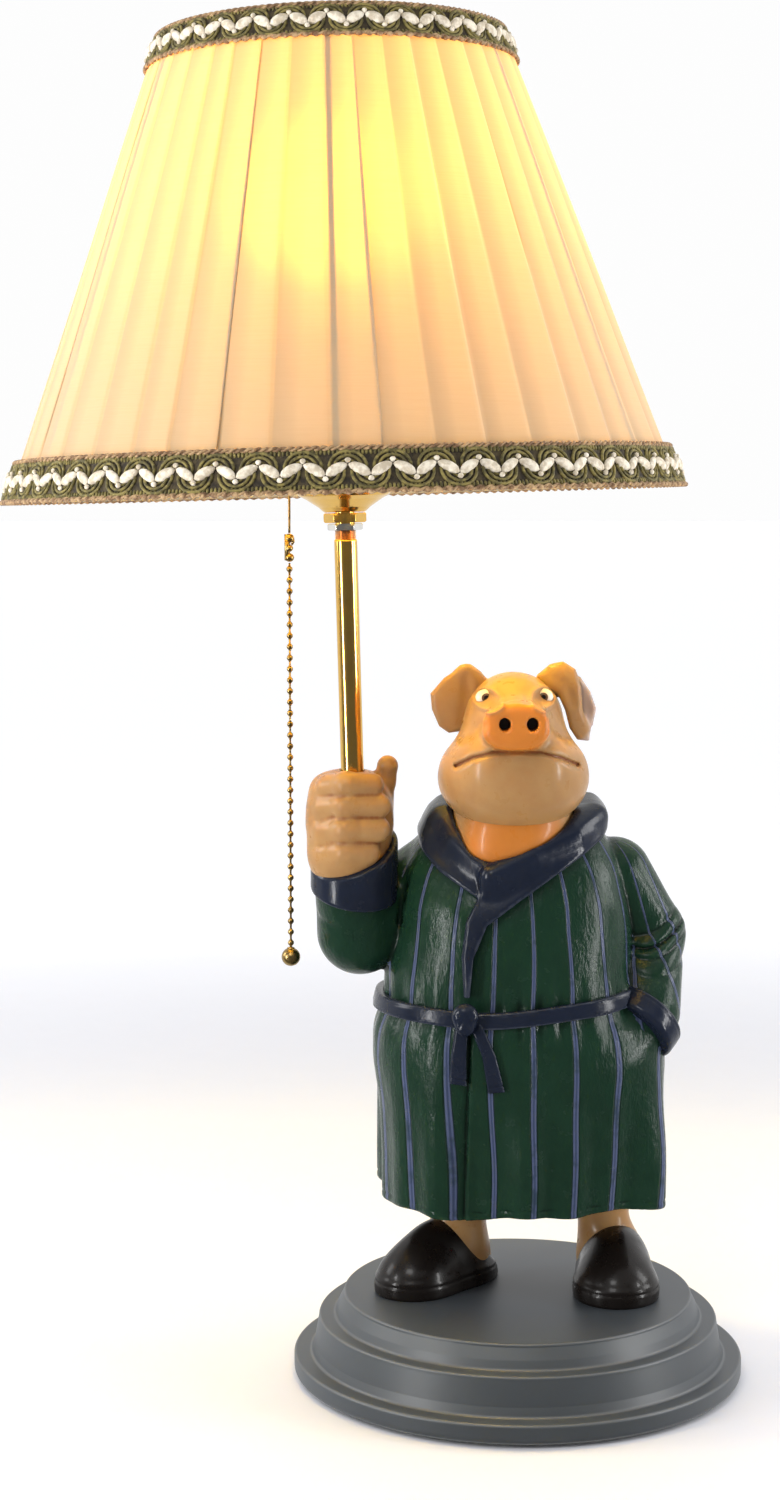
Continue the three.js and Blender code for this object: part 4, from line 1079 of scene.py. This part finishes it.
def fist(p):
    x, y, z = p.T
    palm = ellipsoid(p, (-70.5, -13, 237.5), (16.6, 15, 21.5))
    girth = 15.4 - 0.12 * np.maximum(236 - z, 0) - 0.10 * np.maximum(z - 244, 0)
    block = shared(np.hypot((x + 71.2) / 1.12, y + 14) - girth, np.abs(z - 238.5) - 19.5, 8)
    mass = joined(palm, block, 5)
    fingers = [(254.0, 5.2, -79, -61.5), (245.6, 5.5, -80, -58.8), (235.8, 5.9, -80, -59.6),
               (226.6, 4.9, -79, -63.0)]
    for height, radius, start, end in fingers:
        knuckle = (start, -22, height - 1.2)
        crown = (-72, -29.6, height + 0.5)
        tip = (end, -26.5, height + 0.1)
        outer = limb(p, crown, tip, radius, radius * 0.93)
        mass = joined(mass, joined(limb(p, knuckle, crown, radius), outer, 2), 1.6)
    for height in (250.2, 241.0, 230.8, 222.2):
        line = [(-83, -28, height - 1.8), (-78, -33, height - 0.6), (-68, -36, height + 0.6),
                (-57, -33, height + 0.8), (-53.5, -26, height)]
        mass = groove(mass, path_distance(p, line), 1.0, 1.2 if height > 225 else 0.6)
    heel = limb(p, (-73, -17, 223), (-69.5, -14, 214), 14.5, 13)
    mass = joined(mass, heel, 5)
    thumb = joined(limb(p, (-58.5, -8, 240), (-56.4, -12, 254), 5.2, 4.3),
                   limb(p, (-56.4, -12, 254), (-55.2, -13.5, 260.6), 4.3, 4.4), 2)
    mass = joined(mass, thumb, 2.0)
    nail = np.hypot(x + 54.6, (z - 261) / 1.3) + 30 * (y < -14)
    mass = groove(mass, np.abs(nail - 2.4), 0.4, 0.3)
    stem_x = STEM_FOOT[0] - (z - STEM_FOOT[2]) * math.tan(LEAN)
    bore = np.maximum(np.hypot(x - stem_x, y + 15) - 5.1, 205 - z)
    return carved(mass, bore, 0.5)


def in_shoe(p, heel, toe):
    """Coordinates along, across and above a slipper's sole, and the sole's length."""
    heel, toe = np.array(heel, float), np.array(toe, float)
    reach = np.linalg.norm(toe - heel)
    axis = (toe - heel) / reach
    q = p[:, :2] - heel
    return np.stack([q @ axis, q @ np.array([-axis[1], axis[0]]), p[:, 2] - 35.7], 1), reach


def shank(p, place, radius, shoe):
    """A bare leg and the foot that fills its slipper."""
    heel, toe, width, instep = shoe
    x, y = place
    local, reach = in_shoe(p, heel, toe)
    leg = limb(p, (x, y + 1, 46), (x, y, 92), radius * 0.92, radius * 1.02)
    foot = ellipsoid(local, (reach * 0.36, 0, 9), (reach * 0.33, width * 0.41, instep * 0.62))
    return joined(leg, foot, 7)


def slipper(p, heel, toe, width, instep):
    """A backless slipper: a sole, a vamp up to the instep, and a mouth sloping to the heel."""
    local, reach = in_shoe(p, heel, toe)
    s, t, z = local.T
    outline = joined(np.hypot(s - width * 0.42, t) - width * 0.42,
                     np.hypot((s - reach + width * 0.52) / 1.05, t) - width * 0.52, 24)
    sole = shared(outline - 0.4, np.maximum(z - 7, -z), 2.0)
    vamp = ellipsoid(local, (reach * 0.46, 0, 0), (reach * 0.53, width * 0.52, instep))
    cap = ellipsoid(local, (reach - width * 0.50, 0, 4),
                    (width * 0.51, width * 0.53, instep * 0.46))
    upper = shared(joined(vamp, cap, 8), -z, 1.2)
    slope = np.array([-(instep - 6), reach * 0.38])
    slope /= np.linalg.norm(slope)
    mouth = (s - reach * 0.44) * slope[0] + (z - instep - 1) * slope[1]
    upper = shared(upper, mouth, 2.4)
    shoe = joined(sole, upper, 2.0)
    return groove(shoe, np.abs(z - 5.5) + 4 * (outline < -3), 0.45, 0.4)


LEGS = [  # side, place, radius, and the slipper's heel, toe, width and instep
    ("left", (-24.5, 13), 12.2, ((-12.5, 26), (-55, -14.5), 30, 28.5)),
    ("right", (37.5, 12), 11.4, ((43, 33), (40.4, -29), 32.5, 26.5)),
]


def make_body():
    none = lambda p: np.zeros(len(p))
    # Orange painted lamp light down the front of the throat.
    painted_throat_lamp_light = lambda p: 0.8 * ramp(p[:, 1], -26, -38)
    pale_back = lambda p: ramp(p[:, 0], 23.5, 25.5) * ramp(p[:, 1], -15.5, -12)
    calm = {"blush_and_lamp_light": none, "shadow": none, "pale": none}
    sculpt_all("skin_glaze", SKIN, [
        ("pig_head", head, (-38, -64, 226), (32, 16, 303), 0.7, ["head"],
         calm | {"blush_and_lamp_light": snout_paint_and_lamp_light, "shadow": head_shadow}),
        ("pig_neck", neck, (-32, -46, 208), (26, 16, 262), 1.0, ["neck"],
         calm | {"blush_and_lamp_light": painted_throat_lamp_light}),
        ("pig_ear_left", ear_left, (-41, -24, 271), (-8, 0, 306), 0.6, ["ear_left"], calm),
        ("pig_ear_right", ear_right, (2, -26, 267), (35, 2, 307), 0.6, ["ear_right"],
         calm | {"pale": pale_back}),
        ("pig_fist", fist, (-92, -38, 203), (-48, 8, 268), 0.6, ["raised_hand"], calm)])
    for side, (x, y), radius, shoe in LEGS:
        leg = lambda p: shared(shank(p, (x, y), radius, shoe), 37 - p[:, 2], 0.5)
        sculpt_all("skin_glaze", SKIN, [
            (f"pig_leg_{side}", leg, (x - 30, y - 34, 34), (x + 28, y + 28, 108), 0.9,
             [f"leg_{side}"], calm)])
        centre = (np.array(shoe[0]) + np.array(shoe[1])) / 2
        sculpt_all("slipper_glaze", SLIPPERS, [
            (f"pig_slipper_{side}", lambda p: slipper(p, *shoe), (*(centre - 42), 33),
             (*(centre + 42), 72), 0.7, [f"slipper_{side}"])])


def make_eyes():
    for side, (x, z) in zip(("left", "right"), EYES):
        probe = np.array([[x, y, z] for y in np.linspace(-60, -20, 400)])
        surface = probe[np.argmax(head(probe) < 0), 1]
        centre = (x, surface + 1.1, z)
        points, faces = ball(centre, (4.3, 2.7, 3.3), 32, 20)
        piece = new_piece(f"pig_eye_{side}", points, faces, EYE)
        look = np.hypot(points[:, 0] - x - 0.1, points[:, 2] - z + 0.1)
        add_value(piece.data, "iris", look + 9 * (points[:, 1] > centre[1]))
        settle_on(piece, "base", "skin_glaze")


make_gown()
make_dress()
make_body()
make_eyes()


# ---- Stem and lampholder ---------------------------------------------------------------------

def hexagon(name, corner, bore, bottom, top, material):
    """A hexagonal nut with chamfered corners and a round bore."""
    chamfer, sides = 0.5, 96
    angles = circle(sides)
    flat = corner * math.cos(math.pi / 6) / np.cos((angles % (math.pi / 3)) - math.pi / 6)
    rows = [(np.minimum(flat, corner * limit), z) for z, limit in (
        (bottom, 0.93), (bottom + chamfer, 1.0), (top - chamfer, 1.0), (top, 0.93))]
    rows += [(np.full(sides, bore), z) for z in (top, bottom)]
    points = [[r * math.cos(a), r * math.sin(a), z] for radii, z in rows
              for r, a in zip(radii, angles)]
    piece = new_piece(name, points, quads(6, sides, closed=True), material, ON_STEM)
    piece.data.set_sharp_from_angle(angle=math.radians(20))
    bevel = piece.modifiers.new("edges", "BEVEL")
    bevel.width = 0.15 * MM
    bevel.segments = 2
    bevel.limit_method = "ANGLE"
    bevel.angle_limit = math.radians(20)
    bevel.harden_normals = False
    return piece


def turn_all(body, slot, material, rows):
    """Turned pieces on the stem, of one finish, each with the nodes it stands for."""
    for name, outline, sides, *nodes in rows:
        settle_on(turned(name, outline, material, sides, ON_STEM), body, slot, *nodes)


def make_stem():
    shaft = [[3.4, -160], [4.75, -160], [4.75, -18.2], [4.55, -17.9], [4.0, -17.7], [4.0, 4],
             [3.4, 4]]
    pitch = 0.85
    crests = [[[4.05, z], [4.42, z + pitch / 2]] for z in -18.2 + pitch * np.arange(5)]
    thread = [[3.9, -18.3], *sum(crests, []), [4.05, -13.95], [3.9, -13.9]]
    cap = [[4.5, -6.6], [8.2, -6.6], [8.9, -6.2], [10.6, -4.6], [15.6, -1.3], [18.2, 0.1],
           *arc((17.5, 2.2), 1.9, -40, 0, 4), [19.4, 8.6], [19.2, 9], [18.6, 9], [18.5, 2.6],
           [17.6, 1.0], [10.4, -3.6], [8.3, -5.4], [4.5, -5.4]]
    shell = [[17.5, 3.2], [18.2, 3.2], [18.2, 14], [18.0, 14.4], [18.0, 15.2], [18.2, 15.6],
             [18.2, 44.3], [19.6, 44.5], [21.2, 44.5], [21.4, 45.2], [21.2, 46], [18.2, 46],
             [18.2, 60], [17.5, 60]]
    lining = [[16.6, 4], [17.2, 4], [17.2, 59], [16.6, 59]]
    core = [[2.7, 14.5], [15.6, 14.5], [16.3, 15.2], [16.3, 57.6], [15.8, 58], [14.2, 58],
            [13.7, 57.4], [13.7, 31], [2.7, 31]]
    ring = [[18.6, 49], [23.0, 49], [23.2, 50.0], [22.4, 50.8], [20.6, 51.2], [20.4, 54.6],
            [20.0, 55], [18.6, 55]]
    turn_all("base", "stem_brass", BRASS, [
        ("stem", shaft, 64, "stem_tube"), ("holder_cap", cap, 96, "socket_cap"),
        ("holder_shell", shell, 96, "socket_shell")])
    turn_all("base", "stem_brass", COPPER, [("stem_thread", thread, 64)])
    turn_all("base", "insulator_card", CARD, [("holder_lining", lining, 64, "insulating_sleeve")])
    turn_all("base", "holder_porcelain", PORCELAIN, [("holder_core", core, 64, "socket_core")])
    turn_all("ring_nut", "stem_brass", BRASS, [("ring_nut", ring, 96, "shade_ring_nut")])
    piece = hexagon("nut_bright", 7.3, 4.3, -14, -11.2, CHROME)
    settle_on(piece, "base", "nut_chrome", "lock_nut")
    piece = hexagon("nut_collar", 8.8, 4.3, -10.9, -6.9, BRASS)
    settle_on(piece, "base", "stem_brass", "collar_nut")
    dress(BRASS, "chain_guide")


def make_bulb():
    base = [[0, 32], [3.6, 32], [4.6, 33.4], [5.4, 34.6], [9.6, 36.4], [11.6, 38]]
    pitch = 3.4
    for z in 39.2 + pitch * np.arange(5):
        base += [[12.3, z], [13.1, z + pitch * 0.35], [13.1, z + pitch * 0.6]]
    base += [[12.5, 56.6], [12.4, 58.4], [0, 58.4]]
    piece = turned("bulb_cap", base, STEEL, 64, ON_STEM, sharp=60)
    settle_on(piece, "bulb", "bulb_cap_steel", "bulb_base")
    globe = [[0, 58.8], [12.3, 58.8], [12.9, 62], [14.6, 67.5], [17.6, 74], [21.4, 81],
             *arc((0, BULB_HEIGHT), BULB_RADIUS, -48, 86, 26), [0, BULB_HEIGHT + BULB_RADIUS]]
    piece = turned("bulb_envelope", globe, OPAL, 96, ON_STEM, sharp=80)
    piece.visible_shadow = False
    settle_on(piece, "bulb", "bulb_glass", "bulb_globe")


make_stem()
make_bulb()


# ---- Pull chain ------------------------------------------------------------------------------

def on_chain(x, z):
    """A point in the chain's own plane, x millimetres beside it."""
    return (CHAIN_X + x, CHAIN_Y, z)


def make_chain():
    wire, clasp, beads, drop = (Bundle() for _ in range(4))
    wire.add(*tube([on_chain(0, z) for z in np.linspace(356.4, 379.0, 12)], 0.5, 10))
    clasp.add(*tube([on_chain(-0.9, z) for z in (355.9, 345.2)], 1.15, 12, 1.15))
    for z, radii in ((354.3, (1.95, 1.75, 1.9)), (350.2, (1.55, 1.6, 1.5)),
                     (346.4, (1.95, 1.75, 1.8))):
        clasp.add(*ball(on_chain(0, z), radii, 20, 12))
    clasp.add(*tube([on_chain(1.3, 355), on_chain(1.7, 352.8), on_chain(0.9, 351.6)], 0.55, 10))
    bottom = FIRST_BEAD - BEAD_PITCH * (BEADS - 1)
    beads.add(*tube([on_chain(0, z) for z in (344.2, bottom - 2.4)], 0.42, 8))
    for i in range(BEADS):
        z = FIRST_BEAD - BEAD_PITCH * i
        beads.add(*ball(on_chain(0, z), (1.3, 1.3, 1.3), 18, 12))
        for end in (-1, 1):
            beads.add(*ball(on_chain(0, z + end * 1.32), (0.62, 0.62, 0.3), 10, 6))
    low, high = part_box("pull_ball")
    middle = (low[2] + high[2]) / 2 / MM
    drop.add(*ball(on_chain(0, middle), (3.9, 3.9, 3.85), 40, 26))
    drop.add(*tube([on_chain(0, middle + z) for z in (3.4, 3.9, 4.1)], (1.7, 1.5, 1.1), 20))
    for bundle, name, node in ((wire, "chain_wire", "pull_wire"),
                               (clasp, "chain_clasp", "chain_coupling"),
                               (beads, "chain_beads", "bead_chain"),
                               (drop, "chain_ball", "pull_ball")):
        settle_on(bundle.piece(name, OLD_BRASS), "chain", "chain_brass", node)
    dress(OLD_BRASS, "pull_plunger", "pull_eyelet")


make_chain()


# ---- Shade -----------------------------------------------------------------------------------

SLOPE = (SHADE_BOTTOM - SHADE_TOP) / SHADE_HEIGHT


def shade_radius(height):
    return SHADE_BOTTOM - SLOPE * height


def make_cover():
    """Knife pleats: each panel rises to its folded edge, then drops under the next."""
    per_pleat, rows = 14, 40
    last_rise = 0.86  # the share of a pleat's width after which it turns under
    rising = np.linspace(0, 1, per_pleat - 3)
    random = np.random.default_rng(7)
    widths = 1 + 0.10 * random.standard_normal(PLEATS)
    edges = np.concatenate([[0], np.cumsum(widths)]) * TAU / widths.sum()
    lean = 0.006 * random.standard_normal(PLEATS)
    swell = random.uniform(0.6, 1.2, PLEATS)
    share = np.concatenate([last_rise * rising, [0.91, 0.95, 0.98]])
    rise = np.concatenate([0.2 + 0.75 * rising ** 0.8, [0.92, 0.68, 0.36]])
    heights = np.linspace(0.8, SHADE_HEIGHT - 0.4, rows)
    columns = PLEATS * per_pleat
    points = np.zeros((rows, columns, 3))
    fold = np.zeros((rows, columns))
    for k in range(PLEATS):
        angle = edges[k] + (edges[k + 1] - edges[k]) * share
        for j in range(rows):
            t = heights[j] / SHADE_HEIGHT
            drift = lean[k] * math.sin(math.pi * t)
            depth = (0.95 - 0.35 * t) * swell[k]
            sag = 0.35 * math.sin(math.pi * t) * math.sin(3 * edges[k] + 4 * t)
            at = slice(k * per_pleat, (k + 1) * per_pleat)
            points[j, at] = around(angle + drift, heights[j], depth * rise + sag - 1.5)
            # The fold value marks where a panel lies under the one before; the cloth passes less
            # light there and is darkened as painted shade.
            covered = 0.30 + 0.25 * t
            fold[j, at] = np.clip(1.25 - share / covered, 0, 1) ** 0.7
    points = points.reshape(-1, 3)
    piece = new_piece("pleated_cover", points, quads(rows, columns), CLOTH, ON_STEM)
    add_value(piece.data, "fold", fold.ravel())
    settle_on(piece, "shade", "shade_fabric", "shade_cover")


def around(angle, height, out):
    """A point on the shade's slope, out millimetres proud of it."""
    radius = shade_radius(height) + out
    return np.stack(np.broadcast_arrays(radius * np.cos(angle), radius * np.sin(angle), height), -1)


def make_braid(name, node, bottom, top, repeats, base):
    """A woven band with cord loops, a zigzag of cream knots and beaded edges. Its back lies base
    millimetres proud of the shade's slope."""
    middle, half = (bottom + top) / 2, (top - bottom) / 2
    step = TAU / repeats
    loops, knots, uprights, edging = (Bundle() for _ in range(4))

    angles = circle(repeats * 24)
    rib = 0.18 * np.cos(angles * repeats * 12)
    band = [around(angles, middle + half * level, base + 1.15 + 0.35 * math.cos(level * 1.5) + rib)
            for level in np.linspace(-0.86, 0.86, 9)]
    back = [around(angles, height, base + 0.35) for height in (bottom + 1.0, top - 1.0)]
    band = [back[0], *band, back[1]]
    faces = quads(len(band), len(angles))
    piece = new_piece(f"{name}_band", np.concatenate(band), faces, OLIVE, ON_STEM)
    settle_on(piece, "shade", "braid", node)

    for k in range(repeats):
        for side, shift in ((1, 0.0), (-1, 0.5)):
            centre = (k + shift) * step
            for radius, cord, out in ((0.42, 0.62, 2.1), (0.30, 0.58, 2.2), (0.18, 0.5, 1.9)):
                bow = np.linspace(-0.12, math.pi + 0.12, 13)
                angle = centre + radius * step * np.cos(bow)
                height = middle + side * half * (0.10 + 1.55 * radius * np.sin(bow))
                loops.add(*tube(around(angle, height, base + out - 0.3), cord, 6))
        for leaf, slant in ((0, 1), (1, -1)):
            centre = (k + 0.25 + 0.5 * leaf) * step
            t = np.linspace(-1, 1, 9)
            angle = centre + t * 0.235 * step
            height = middle - slant * t * half * 0.22 + 0.25 * np.cos(t * 1.6)
            width = 2.0 * np.sqrt(np.maximum(1 - t ** 2, 0.03)) * (1 + 0.12 * slant * t)
            knots.add(*tube(around(angle, height, base + 2.35), width, 10, 0.62))
            angle = (k + 0.5 * leaf) * step + np.linspace(-0.055, 0.055, 5) * step
            height = middle + slant * half * 0.34 + np.array([0, 0.2, 0.25, 0.2, 0]) * slant
            width = (0.6, 0.95, 1.05, 0.95, 0.6)
            knots.add(*tube(around(angle, height, base + 2.6), width, 8, 0.8))

    count = round(TAU * shade_radius(middle) / 1.5)
    for i in range(count):
        for side in (-1, 1):
            angle = TAU * i / count + np.zeros(4)
            height = middle + side * half * np.array([0.60, 0.68, 0.76, 0.84])
            uprights.add(*tube(around(angle, height, base + 1.45), (0.35, 0.62, 0.62, 0.4), 5))

    for height, pitch in ((bottom + 1.1, 4.0), (top - 1.1, 2.9)):
        count = 2 * round(TAU * shade_radius(height) / pitch / 2)
        turns = circle(count * 8)
        for phase in (0.0, math.pi):
            wave = turns * count / 2 + phase
            path = around(turns, height + 0.55 * np.sin(wave), base + 1.45 + 0.5 * np.cos(wave))
            edging.add(*tube(path, 0.55, 6, closed=True))
        if height < middle:
            for angle in circle(count) + math.pi / count:
                centre = around(angle, height - 0.35, base + 1.75)
                turn = Matrix.Rotation(angle, 3, "Z")
                edging.add(*ball(centre, (0.95, 1.35, 0.95), 8, 6, turn))

    for bundle, kind, material in ((loops, "loops", SAGE), (knots, "knots", CREAM),
                                   (uprights, "uprights", SAGE), (edging, "edging", TAN)):
        settle_on(bundle.piece(f"{name}_{kind}", material, ON_STEM), "shade", "braid")


def make_wires():
    gauge = 1.2
    for node in ("shade_bottom_ring", "shade_top_ring"):
        low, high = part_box(node)
        middle = ON_STEM.inverted() @ ((Vector(low) + Vector(high)) / 2)
        radius = (high[1] - low[1]) / 2 / MM - gauge
        path = [(radius * math.cos(a), radius * math.sin(a), middle.z / MM) for a in circle(160)]
        points, faces = tube(path, gauge, 12, closed=True)
        piece = new_piece(f"wire_{node}", points, faces, WIRE, ON_STEM)
        settle_on(piece, "shade", "shade_wire", node)
    dress(WIRE, "shade_fitter", *(f"shade_rib_{i}" for i in range(1, 7)))


make_cover()
make_braid("braid_low", "bottom_braid", 0.0, 17.5, 53, 0.0)
make_braid("braid_top", "top_braid", SHADE_HEIGHT - 14.2, SHADE_HEIGHT - 0.4, 32, -1.8)
make_wires()
